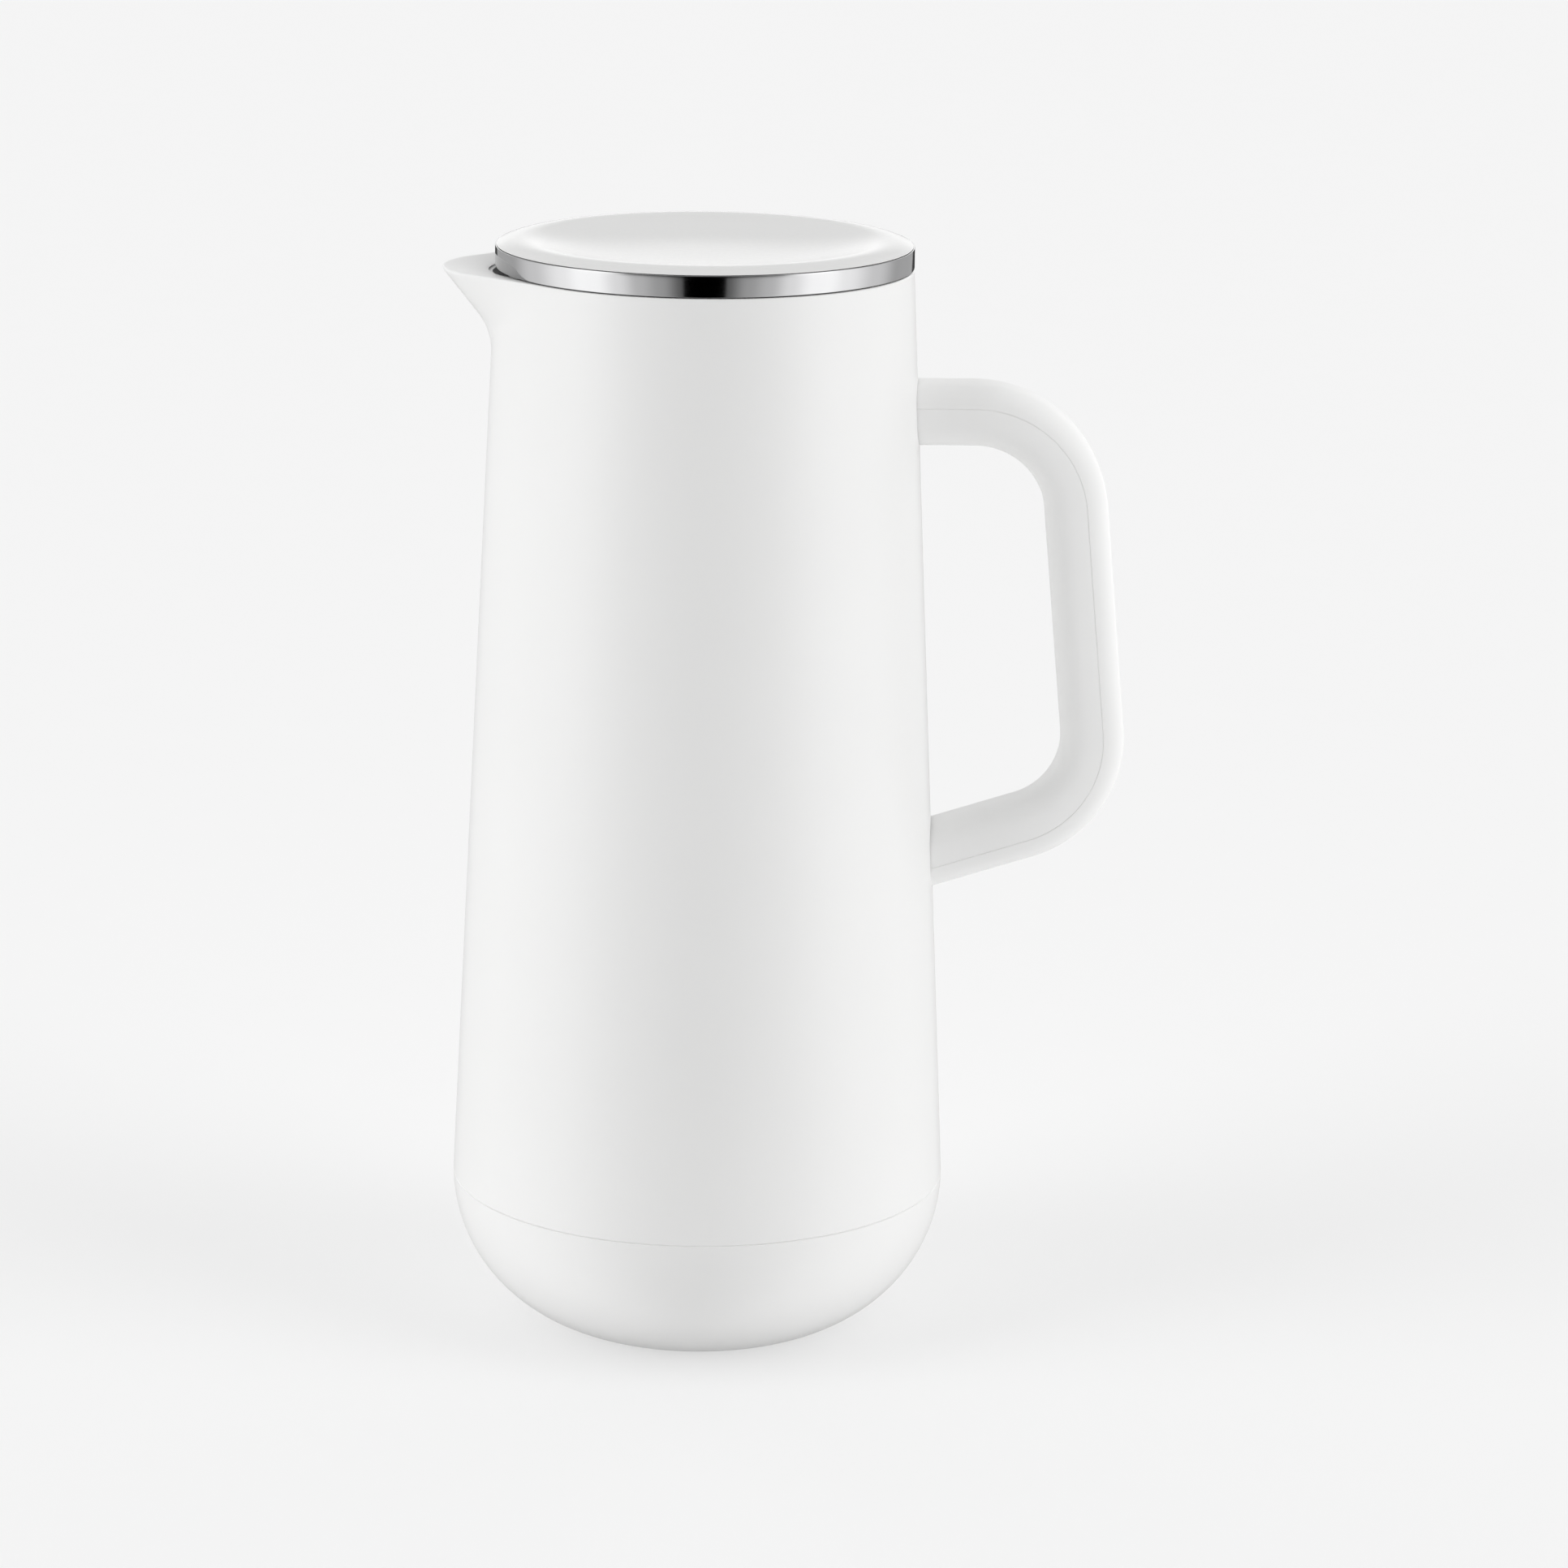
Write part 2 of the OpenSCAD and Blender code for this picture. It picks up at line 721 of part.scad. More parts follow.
module neck_gasket() {
    color("gray")
        ring(mouth_r + slip, jacket_out_neck_r, lip_z, collar_low_z);
}

module pour_collar() {
    skirt_in = jacket_out_neck_r + slip;
    skirt_out = skirt_in + collar_wall;
    color("dimgray")
        difference() {
            rotate_extrude()
                polygon([[mouth_r, collar_low_z], [mouth_r, collar_floor_z], [bore_r, collar_floor_z],
                    [bore_r, flare_low_z], [ledge_in_r, collar_top_z], [collar_out_r, collar_top_z],
                    [collar_out_r, collar_top_z - collar_band_h],
                    [bore_r + collar_wall, flare_low_z - collar_wall], [bore_r + collar_wall, collar_low_z],
                    [skirt_out, collar_low_z], [skirt_out, collar_low_z - neck_skirt_h],
                    [skirt_in, collar_low_z - neck_skirt_h], [skirt_in, collar_low_z]]);
            trough();
        }
}

// Stopper

module stopper_body() {
    color("dimgray")
        difference() {
            union() {
                ring(sleeve_r + running, plate_r, plate_low_z, plate_top_z);
                ring(sleeve_r + running, sleeve_r + bearing_wall, bearing_low_z, plate_top_z);
                ring(plug_r - plug_wall, plug_r, plug_low_z, plate_top_z);
                ring(seat_r, plug_r, plug_low_z, plug_low_z + plug_wall);
                for (i = [0 : spokes - 1])
                    rotate([0, 0, 360 / spokes * (i + 0.5)])
                        translate([guide_r - guide_wall / 2, -spoke_w / 2, plug_low_z])
                            cube([seat_r - guide_r + guide_wall, spoke_w, plug_wall]);
                ring(stem_bore_r, guide_r, plug_low_z, plate_low_z);
            }
            // Pouring windows towards the spout
            for (a = window_angles)
                rotate([0, 0, 180 + a])
                    translate([plug_r - plug_wall - over, -window_w / 2, flare_low_z + window_margin])
                        cube([plug_wall + 2 * over, window_w,
                            plate_low_z - flare_low_z - 2 * window_margin]);
            // Upright slots in the guide tube that keep the cross pin from turning
            translate([-guide_r - over, -slot_half, pin_z - valve_drop - slot_half])
                cube([2 * (guide_r + over), 2 * slot_half, valve_drop + 2 * slot_half]);
        }
}

module stopper_gasket() {
    color("gray")
        ring(mouth_r + slip, plug_r - slip, plug_low_z - ring_t, plug_low_z);
}

module rim_seal() {
    color("gray")
        ring(ledge_in_r + slip, plate_r - slip, plate_low_z - ring_t, plate_low_z);
}

// Cap

// The cap's dish or, drawn out by its wall, the underside that runs parallel to it
module dish_profile(inset) {
    translate([dish_flat_r, dish_z + dish_arc_r])
        circle(dish_arc_r + inset, $fn = dish_fn);
    translate([0, dish_z - inset])
        square([dish_flat_r, dish_depth + inset + over]);
}

module lid_cap() {
    edge_z = band_top_z + cap_edge_gap;
    color("white")
        rotate_extrude() {
            difference() {
                union() {
                    translate([0, band_low_z + hem_t + running])
                        square([cap_wall_r, edge_z - band_low_z - hem_t - running]);
                    translate([0, skirt_low_z])
                        square([skirt_r, band_top_z - skirt_low_z]);
                    translate([0, band_top_z])
                        square([dish_turn_r, cap_rise]);
                    intersection() {
                        translate([crest_r, cap_top_z - cap_roll_r])
                            circle(cap_roll_r);
                        translate([dish_turn_r, edge_z])
                            square([cap_out_r - dish_turn_r, cap_rise]);
                    }
                }
                dish_profile(0);
                // Hollow underside
                difference() {
                    translate([0, skirt_low_z - over])
                        square([skirt_r - cap_wall, cap_hollow_z - skirt_low_z + over]);
                    dish_profile(cap_wall);
                }
            }
            // Boss that the cam sleeve is fixed to
            translate([0, cap_seat_z])
                square([sleeve_flange_r, cap_wall]);
        }
}

module lid_band() {
    in_r = rim_r - band_t;
    color("silver")
        rotate_extrude()
            polygon([[in_r, band_top_z], [rim_r, band_top_z], [rim_r, band_low_z + hem_t],
                [rim_r - hem_t, band_low_z], [rim_r - hem_w, band_low_z],
                [rim_r - hem_w, band_low_z + hem_t], [in_r, band_low_z + hem_t]]);
}

module cam_sleeve() {
    color("dimgray")
        difference() {
            union() {
                ring(sleeve_in_r, sleeve_r, sleeve_low_z, cap_seat_z);
                ring(sleeve_in_r, sleeve_flange_r, sleeve_flange_low_z, cap_seat_z);
            }
            for (side = [0, 180])
                rotate([0, 0, side])
                    cam_slot();
            ring(sleeve_r - clip_groove, sleeve_r + over, clip_top_z - clip_t, clip_top_z);
        }
}

module retaining_clip() {
    color("silver")
        difference() {
            ring(sleeve_r - clip_groove + running, sleeve_r + clip_w, clip_top_z - clip_t, clip_top_z);
            // The clip's open mouth
            translate([0, -sleeve_r / 2, clip_top_z - 2 * clip_t])
                cube([2 * sleeve_r, sleeve_r, 3 * clip_t]);
        }
}

// Valve

module valve_stem() {
    color("dimgray")
        difference() {
            translate([0, 0, disc_top_z])
                cylinder(h = stem_top_z - disc_top_z, r = stem_r);
            translate([-stem_r - over, 0, pin_z])
                rotate([0, 90, 0])
                    cylinder(h = 2 * (stem_r + over), r = pin_r + running);
            translate([0, 0, disc_low_z])
                cylinder(h = valve_screw_len, r = valve_screw_r + running);
        }
}

module cross_pin() {
    color("silver")
        translate([-sleeve_r + slip, 0, pin_z])
            rotate([0, 90, 0])
                cylinder(h = 2 * (sleeve_r - slip), r = pin_r);
}

module valve_disc() {
    color("dimgray")
        ring(valve_screw_r + running, valve_r, disc_low_z, disc_top_z);
}

module valve_seal() {
    color("gray")
        ring(stem_r + slip, valve_r, disc_top_z, seal_top_z);
}

module valve_screw() {
    color("silver") {
        translate([0, 0, disc_low_z - valve_screw_head_h])
            cylinder(h = valve_screw_head_h, r = 2 * valve_screw_r);
        translate([0, 0, disc_low_z - eps])
            cylinder(h = valve_screw_len - over, r = valve_screw_r);
    }
}

body_shell();
base_cup();
foot_pad();
handle_grip();
handle_cover();
handle_screws();
flask_liner();
flask_jacket();
flask_base();
vacuum_plug();
getter();
flask_cushion();
neck_gasket();
pour_collar();
stopper_body();
stopper_gasket();
rim_seal();
lid_cap();
lid_band();
cam_sleeve();
retaining_clip();
valve_stem();
cross_pin();
valve_disc();
valve_seal();
valve_screw();
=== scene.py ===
"""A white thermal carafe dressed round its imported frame: smooth shells, threads, finishes and light."""

import json
import math

import bmesh
import bpy
from mathutils import Matrix, Vector


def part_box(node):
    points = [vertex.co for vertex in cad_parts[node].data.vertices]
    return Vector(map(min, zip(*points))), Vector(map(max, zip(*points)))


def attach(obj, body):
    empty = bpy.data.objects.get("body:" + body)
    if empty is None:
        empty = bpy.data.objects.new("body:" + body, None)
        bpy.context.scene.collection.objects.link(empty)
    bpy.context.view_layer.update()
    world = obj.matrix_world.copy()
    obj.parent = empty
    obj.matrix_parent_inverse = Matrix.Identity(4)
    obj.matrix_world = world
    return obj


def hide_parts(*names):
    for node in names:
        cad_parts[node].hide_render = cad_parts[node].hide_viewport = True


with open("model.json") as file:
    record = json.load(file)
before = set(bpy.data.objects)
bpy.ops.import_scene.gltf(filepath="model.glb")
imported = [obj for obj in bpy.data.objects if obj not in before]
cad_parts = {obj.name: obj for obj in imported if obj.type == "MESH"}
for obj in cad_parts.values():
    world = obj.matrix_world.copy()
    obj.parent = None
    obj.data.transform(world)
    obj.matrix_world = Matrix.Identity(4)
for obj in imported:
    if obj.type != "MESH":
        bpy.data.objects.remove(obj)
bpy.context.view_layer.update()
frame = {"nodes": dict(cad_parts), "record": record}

# Lengths are in metres and angles in radians
MM = 0.001

# Sizes that the frame gives
shell_low, shell_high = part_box("body_shell")
band_low, band_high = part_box("lid_band")
cap_low, cap_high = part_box("lid_cap")
pad_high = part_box("foot_pad")[1]
collar_low, collar_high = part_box("pour_collar")
plug_low, plug_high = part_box("stopper_body")
liner_low, liner_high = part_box("flask_liner")
disc_low, disc_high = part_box("valve_disc")
screw_low, screw_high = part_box("valve_screw")
RIM_Z = shell_high.z
SEAM_Z = shell_low.z
SEAM_R = shell_high.y
RIM_R = band_high.y
PAD_R = pad_high.x
PAD_T = pad_high.z
COLLAR_TOP_Z = collar_high.z
COLLAR_OUT_R = collar_high.y
COLLAR_SKIRT_Z = collar_low.z
PLUG_Z = plug_low.z
PLATE_TOP_Z = plug_high.z
PLATE_R = plug_high.y
LIP_Z = liner_high.z
LINER_OUT_R = liner_high.y
LINER_Z = liner_low.z
VALVE_R = disc_high.y

# Gaps between pieces that slip or run on each other
SLIP = 0.3 * MM
RUNNING = 0.08 * MM

# Body: the lip's shares are of the rim's width
TAPER = (SEAM_R - RIM_R) / (RIM_Z - SEAM_Z)
SHELL_WALL = 2.4 * MM
SEAM_GROOVE = 0.22 * MM
LEDGE_TOP_Z = RIM_Z - 5.8 * MM
LEDGE_LOW_Z = LEDGE_TOP_Z - 2.4 * MM
LEDGE_IN_R = RIM_R - SHELL_WALL - 5.6 * MM
LIP_ROUND = 0.45 * MM
LIP_OUTER_SHARE = 0.7
LIP_INNER_SHARE = 0.25

# Spout
SPOUT_TIP_R = 21 * MM
SPOUT_LEAN = math.radians(40)
SPOUT_BLEND_R = 16.5 * MM
SPOUT_REACH = -shell_low.x - RIM_R
SPOUT_STRAIGHT = (SPOUT_REACH - SPOUT_BLEND_R * (1 - math.cos(SPOUT_LEAN))) / math.tan(SPOUT_LEAN)
SPOUT_DROP = SPOUT_STRAIGHT + SPOUT_BLEND_R * math.sin(SPOUT_LEAN)
SPOUT_ROWS_Z = RIM_Z - 1.1 * SPOUT_DROP
SPOUT_HALF_ANGLE = math.radians(48)
LIP_W = 1.8 * MM
LIP_SOFT = 1.5 * MM
BASIN_DEPTH = 1.0 * MM
BASIN_END = 1.5 * BASIN_DEPTH
BASIN_ROWS_Z = RIM_Z - 1.6 * BASIN_DEPTH
BASIN_FAR = RIM_R + 0.7 * MM
BASIN_BLEND = 3 * MM
THROAT_R = 20 * MM
THROAT_BEND = 1.6
TROUGH_DEPTH = 10.5 * MM
TROUGH_Z = RIM_Z - TROUGH_DEPTH
TROUGH_TIP = RIM_R + SPOUT_REACH - SPOUT_TIP_R

# Base
FOOT_R = 38 * MM
FOOT_Z = 0.8 * MM
BASE_WALL = 2.6 * MM
BASE_ARC_R = ((SEAM_R - FOOT_R) ** 2 + (SEAM_Z - FOOT_Z) ** 2) / (2 * (SEAM_R - FOOT_R))
BASE_ARC_X = SEAM_R - BASE_ARC_R
BASE_ARC_END = -0.35
BASE_FLOOR_Z = PAD_T + BASE_WALL
SPIGOT_H = 10 * MM
SPIGOT_ROOT = 8 * MM
SPIGOT_WALL = 2.4 * MM
FOOT_EDGE = 0.5 * MM
FOOT_GROOVES = (12 * MM, 20 * MM, 28 * MM)
FOOT_GROOVE_W = 1.6 * MM
FOOT_GROOVE_DEPTH = 0.7 * MM
FOOT_GROOVE_SOFT = 0.35 * MM

# Handle
HANDLE_T = 16 * MM
HANDLE_W = 18 * MM
COVER_CORNER_R = 5.4 * MM
GRIP_CORNER_R = 6.5 * MM
HANDLE_WALL = 2.8 * MM
COVER_SPLIT = HANDLE_T / 2 - 5.8 * MM
PARTING_GROOVE = 0.15 * MM
PARTING_SOFT = 0.1 * MM
TONGUE_H = 1.6 * MM
HANDLE_SEAT = 1.2 * MM
SEAT_GAP = 0.1 * MM
SEAT_CUT = 12 * MM
BOSS_LEN = 10 * MM
HANDLE_TOP_Z = RIM_Z - 36.9 * MM
HANDLE_LOW_Z = HANDLE_TOP_Z - 102.3 * MM
HANDLE_REACH_TOP = 38.4 * MM
HANDLE_REACH_LOW = 43.3 * MM
LOWER_ARM_RISE = math.radians(17.4)
UPPER_BEND_R = 26.6 * MM
LOWER_BEND_R = 24.5 * MM

# Lid
BAND_T = 0.9 * MM
BAND_SOFT = 0.15 * MM
BAND_HEM = 0.6 * MM
BAND_HEM_W = 2.2 * MM
CAP_SETBACK = 0.3 * MM
CAP_EDGE_GAP = 0.15 * MM
CAP_EDGE_DROP = 0.1 * MM
CAP_EDGE_TURN = 0.03
CAP_WALL = 2.2 * MM
CAP_ROLL_R = 14 * MM
CREST_R = RIM_R - 6.4 * MM
DISH_DEPTH = 3.9 * MM
DISH_SLOPE = math.radians(15)
DISH_Z = cap_high.z - DISH_DEPTH
DISH_ARC_R = DISH_DEPTH / (1 - math.cos(DISH_SLOPE)) - CAP_ROLL_R
DISH_TURN_R = CREST_R - CAP_ROLL_R * math.sin(DISH_SLOPE)
DISH_FLAT_R = DISH_TURN_R - DISH_ARC_R * math.sin(DISH_SLOPE)
SKIRT_R = RIM_R - SHELL_WALL - 0.6 * MM
CAP_BOSS_R = 20 * MM

# Flask and collar
MOUTH_R = 27 * MM
FLASK_WALL = 0.6 * MM
LINER_CORNER_R = 10 * MM
NECK_H = 22 * MM
NECK_OUT_R = MOUTH_R + 2.6 * MM
BORE_R = MOUTH_R + 7 * MM
COLLAR_WALL = 2.6 * MM
COLLAR_LOW_Z = COLLAR_TOP_Z - 24.4 * MM
COLLAR_BAND_H = 5 * MM
FLARE_Z = COLLAR_TOP_Z - 8 * MM
FLARE_BEND_R = 4 * MM
MOULD_SOFT = 0.5 * MM
CUT_OVER = 2 * MM
RING_T = 1.6 * MM
SEAL_BULGE = 0.5 * MM

# Stopper and valve
PLUG_R = BORE_R - 2 * MM
PLUG_WALL = 2.6 * MM
PLATE_LOW_Z = PLATE_TOP_Z - 2 * MM
SEAT_R = VALVE_R - 4.5 * MM
STEM_R = 6 * MM
GUIDE_R = STEM_R + RUNNING + 2.6 * MM
GUIDE_SOFT = 0.3 * MM
SLEEVE_R = GUIDE_R + SLIP + 3 * MM
BEARING_WALL = 3 * MM
BEARING_H = 4 * MM
SPOKES = 3
SPOKE_W = 4 * MM
SPOKE_LAP = 1 * MM
PIN_R = 1.5 * MM
VALVE_DROP = 6 * MM
WINDOW_W = 14 * MM
WINDOW_MARGIN = 1.5 * MM
WINDOW_CORNER_R = 2 * MM
WINDOW_TURN = math.radians(42)
DISC_LOW_SOFT = 1.4 * MM
DISC_TOP_SOFT = 0.3 * MM
SCREW_R = 2 * MM
SCREW_TIP_SOFT = 0.4 * MM
SCREW_HEAD_R = 2 * SCREW_R
SCREW_HEAD_H = 1.6 * MM
SCREW_HEAD_SOFT = 0.6 * MM
SCREW_HEAD_EDGE = 0.1 * MM
SOCKET_R = 1.7 * MM
SOCKET_DEPTH = 1 * MM

# Threads: the root's sink is a share of the height, the fade of the length, the crest of the width
THREAD_PITCH = 5 * MM
THREAD_TURNS = 1.4
THREAD_H = 0.85 * MM
THREAD_W = 2.2 * MM
THREAD_SINK = 0.3
THREAD_FADE = 0.1
THREAD_CREST = 0.4
COLLAR_THREAD_Z = PLUG_Z + 4 * MM
STOPPER_THREAD_Z = PLUG_Z + 2.5 * MM

# Steps round curves and rows along walls
ROUND_STEPS = 160
FINE_STEP = math.radians(0.75)
COARSE_STEP = math.radians(2)
PLAIN_ROWS = 14
SPOUT_ROWS = 34
BASIN_ROWS = 14
WALL_ROWS = 8
THROAT_ROWS = 4
CONE_ROWS = 4
CUTTER_ROWS = 8
CUTTER_RING = 64
BEND_STEPS = 30
DISH_STEPS = 48
WALL_TRIES = 12
SHARP_ANGLE = math.radians(35)
BAND_SHARP_ANGLE = math.radians(50)

# Finishes: the clouds and the grain that every material shares
CLOUD_SCALE = 28.0
CLOUD_DETAIL = 4.0
GRAIN_DETAIL = 3.0
GRAIN_DEPTH = 0.05 * MM
NOISE_LOW = 0.3
NOISE_HIGH = 0.7
SUBSURFACE_REACH = 2 * MM

# Floor: it gives off part of its own light, so that it stays even round the foot
FLOOR_HALF = 14.0
FLOOR_GREY = 0.53
FLOOR_GLOW = 0.405
BACKDROP_GREY = 0.9

# Studio light: brightness by turn (0 in front, 1 behind) and by height (0 below, 1 overhead)
LIGHT_STRENGTH = 2.87
SIDE_STOPS = [(0.0, 0.0), (0.23, 0.04), (0.31, 1.15), (0.39, 1.4), (0.46, 0.9), (0.54, 0.3),
              (0.7, 0.18), (0.8, 0.12), (1.0, 0.02)]
SIDE_HEIGHT_STOPS = [(0.0, 0.0), (0.49, 0.0), (0.5, 1.0), (0.6, 1.0), (0.72, 0.4), (1.0, 0.1)]
TOP_STOPS = [(0.0, 0.0), (0.55, 0.0), (0.7, 0.1), (0.85, 0.2), (1.0, 0.24)]
BACK_STOPS = [(0.0, 0.0), (0.6, 0.0), (0.78, 0.42), (1.0, 0.42)]
BACK_HEIGHT_STOPS = [(0.0, 0.0), (0.5, 0.0), (0.505, 1.25), (0.55, 1.15), (0.575, 0.6), (0.59, 0.4),
                     (0.66, 0.4), (0.72, 0.2), (1.0, 0.05)]
LOW_STOPS = [(0.0, 0.0), (0.062, 0.0), (0.067, 0.1), (0.133, 0.31), (0.2, 0.45), (0.267, 0.71),
             (0.34, 0.95), (0.4, 0.97), (0.467, 0.83), (0.6, 0.55), (0.733, 0.29), (0.88, 0.22),
             (0.9, 0.02), (1.0, 0.02)]
LOW_HEIGHT_STOPS = [(0.0, 0.5), (0.3, 1.0), (0.49, 1.0), (0.5, 0.0), (1.0, 0.0)]

# Camera: it looks at a point on the axis from in front, turned and shifted as in the photograph
FRAME_PX = 1932
FOCAL_PX = 6255
AIM_PX = (863.26, 946.63)
AIM_Z = 147.1 * MM
CAMERA_DISTANCE = 1316 * MM
CAMERA_DOWN = 0.2506
CAMERA_ROLL = 0.0085
SENSOR_MM = 36


def body_r(z):
    """Outer radius of the body's cone at a height."""
    return RIM_R + (RIM_Z - z) * TAPER


def shell_in_r(z):
    """Inner radius of the body shell at a height."""
    return body_r(z) - SHELL_WALL


# Mesh helpers


def new_piece(name, points, faces, body, material, replaced=(), sharp=SHARP_ANGLE):
    """A mesh piece that rides on a body, if it has one, and takes its finish from a slot."""
    mesh = bpy.data.meshes.new(name)
    mesh.from_pydata([tuple(p) for p in points], [], faces)
    tidy = bmesh.new()
    tidy.from_mesh(mesh)
    bmesh.ops.remove_doubles(tidy, verts=tidy.verts, dist=1e-6)
    bmesh.ops.dissolve_degenerate(tidy, edges=tidy.edges, dist=1e-7)
    bmesh.ops.recalc_face_normals(tidy, faces=tidy.faces)
    tidy.to_mesh(mesh)
    tidy.free()
    mesh.shade_smooth()
    mesh.set_sharp_from_angle(angle=sharp)
    mesh.materials.append(material)
    piece = bpy.data.objects.new(name, mesh)
    bpy.context.scene.collection.objects.link(piece)
    if body:
        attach(piece, body)
        if replaced:
            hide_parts(*replaced)
    return piece


def loop_faces(rings, ring_len, closed=True):
    """Quads between neighbouring closed rings of points, and back to the first ring where it is closed."""
    faces = []
    for i in range(rings if closed else rings - 1):
        for k in range(ring_len):
            a = i * ring_len + k
            b = i * ring_len + (k + 1) % ring_len
            step = ((i + 1) % rings - i) * ring_len
            faces.append((a, b, b + step, a + step))
    return faces


def loft_faces(rings, ring_len):
    """Quads along a loft of closed rings, with a face over each end."""
    last = (rings - 1) * ring_len
    ends = [tuple(range(ring_len - 1, -1, -1)), tuple(range(last, last + ring_len))]
    return loop_faces(rings, ring_len, closed=False) + ends


def rounded(corners, steps):
    """Points of a closed outline from corners (x, y, radius), with each corner rounded by its radius."""
    points = []
    for i, (x, y, radius) in enumerate(corners):
        here = Vector((x, y))
        if radius == 0:
            points.append(here)
            continue
        back = (Vector(corners[i - 1][:2]) - here).normalized()
        on = (Vector(corners[(i + 1) % len(corners)][:2]) - here).normalized()
        half = back.angle(on) / 2
        start = here + back * (radius / math.tan(half))
        middle = here + (back + on).normalized() * (radius / math.sin(half))
        turn = (start - middle).angle_signed(here + on * (radius / math.tan(half)) - middle)
        for k in range(steps + 1):
            spoke = Matrix.Rotation(-turn * k / steps, 2) @ (start - middle)
            points.append(middle + spoke)
    return points


def arc(middle, radius, start, end, steps):
    """Points of an arc in a half profile, between two angles."""
    angles = [start + (end - start) * k / steps for k in range(steps + 1)]
    return [Vector((middle[0] + radius * math.cos(a), middle[1] + radius * math.sin(a))) for a in angles]


def turned(outline):
    """Points and faces of a half profile (radius, height) turned round the axis."""
    angles = [2 * math.pi * i / ROUND_STEPS for i in range(ROUND_STEPS)]
    points = [(r * math.cos(a), r * math.sin(a), z) for a in angles for r, z in outline]
    return points, loop_faces(ROUND_STEPS, len(outline))


def bezier(start, bend, end, steps):
    """Points after start on a curve that leaves towards bend and arrives at end from it."""
    start, bend, end = Vector(start), Vector(bend), Vector(end)
    shares = [k / steps for k in range(1, steps + 1)]
    return [start * (1 - t) ** 2 + bend * (2 * t * (1 - t)) + end * t ** 2 for t in shares]


def block(low, high):
    """Points and faces of a box between two corners."""
    points = [(x, y, z) for z in (low[2], high[2])
              for x, y in ((low[0], low[1]), (high[0], low[1]), (high[0], high[1]), (low[0], high[1]))]
    return points, loft_faces(2, 4)


def cut(piece, cutter):
    """Cuts one mesh out of another for good, and removes the cutter."""
    modifier = piece.modifiers.new("cut", "BOOLEAN")
    modifier.operation = "DIFFERENCE"
    modifier.solver = "EXACT"
    modifier.object = cutter
    shown = piece.evaluated_get(bpy.context.evaluated_depsgraph_get())
    mesh = bpy.data.meshes.new_from_object(shown)
    piece.modifiers.clear()
    piece.data = mesh
    bpy.data.objects.remove(cutter)
    mesh.shade_smooth()
    mesh.set_sharp_from_angle(angle=SHARP_ANGLE)


# Materials


def preset(node, values):
    """Sets a node's own values by the names of its inputs."""
    for name, value in values.items():
        node.inputs[name].default_value = value


def noise(nodes, links, place, scale, detail):
    """The value of a noise at a place."""
    node = nodes.new("ShaderNodeTexNoise")
    preset(node, {"Scale": scale, "Detail": detail})
    links.new(place, node.inputs["Vector"])
    return node.outputs["Fac"]


def finish(name, colour, roughness, metallic=0.0, tint=0.02, grain=900.0, stretch=(1, 1, 1), bump=0.02,
           spread=0.05, specular=0.5, subsurface=0.0, anisotropic=0.0):
    """A procedural finish: a colour that clouds a little, and a fine moulded or ground grain."""
    material = bpy.data.materials.new(name)
    material.use_nodes = True
    nodes, links = material.node_tree.nodes, material.node_tree.links
    shader = nodes["Principled BSDF"]
    preset(shader, {"Metallic": metallic, "Specular IOR Level": specular, "Subsurface Weight": subsurface,
                    "Subsurface Radius": (SUBSURFACE_REACH,) * 3, "Anisotropic": anisotropic})
    place = nodes.new("ShaderNodeTexCoord")
    scale = nodes.new("ShaderNodeMapping")
    preset(scale, {"Scale": stretch})
    links.new(place.outputs["Object"], scale.inputs["Vector"])
    cloud = noise(nodes, links, place.outputs["Object"], CLOUD_SCALE, CLOUD_DETAIL)
    fine = noise(nodes, links, scale.outputs["Vector"], grain, GRAIN_DETAIL)

    shade = nodes.new("ShaderNodeValToRGB")
    for element, stop, change in zip(shade.color_ramp.elements, (NOISE_LOW, NOISE_HIGH), (-tint, tint)):
        element.position = stop
        element.color = (*[min(1, c * (1 + change)) for c in colour], 1)
    links.new(cloud, shade.inputs["Fac"])
    links.new(shade.outputs["Color"], shader.inputs["Base Color"])

    rough = nodes.new("ShaderNodeMapRange")
    preset(rough, {"From Min": NOISE_LOW, "From Max": NOISE_HIGH,
                   "To Min": max(0.0, roughness - spread), "To Max": roughness + spread})
    links.new(fine, rough.inputs["Value"])
    links.new(rough.outputs["Result"], shader.inputs["Roughness"])

    relief = nodes.new("ShaderNodeBump")
    preset(relief, {"Strength": bump, "Distance": GRAIN_DEPTH})
    links.new(fine, relief.inputs["Height"])
    links.new(relief.outputs["Normal"], shader.inputs["Normal"])
    return material


BODY_WHITE = finish("body_white", (0.82, 0.82, 0.815), 0.38, tint=0.006, grain=1400, bump=0.05,
                    spread=0.04, specular=0.7)
HANDLE_WHITE = finish("handle_white", (0.91, 0.91, 0.905), 0.55, tint=0.008, grain=2200, bump=0.12,
                      spread=0.05, specular=0.1)
CAP_WHITE = finish("cap_white", (0.75, 0.75, 0.745), 0.24, tint=0.005, grain=900, bump=0.02, spread=0.02)
BAND_STEEL = finish("band_steel", (0.33, 0.33, 0.333), 0.09, metallic=1, tint=0.01, grain=160,
                    stretch=(1, 1, 40), bump=0.01, spread=0.02)
FLASK_STEEL = finish("flask_steel", (0.62, 0.62, 0.63), 0.3, metallic=1, tint=0.03, grain=120,
                     stretch=(1, 1, 30), bump=0.06, spread=0.08, anisotropic=0.4)
INNER_PLASTIC = finish("inner_plastic", (0.10, 0.10, 0.105), 0.42, tint=0.05, grain=1800, bump=0.15,
                       spread=0.06)
SEAL_RUBBER = finish("seal_rubber", (0.45, 0.46, 0.47), 0.5, tint=0.03, grain=700, bump=0.05,
                     subsurface=0.25)
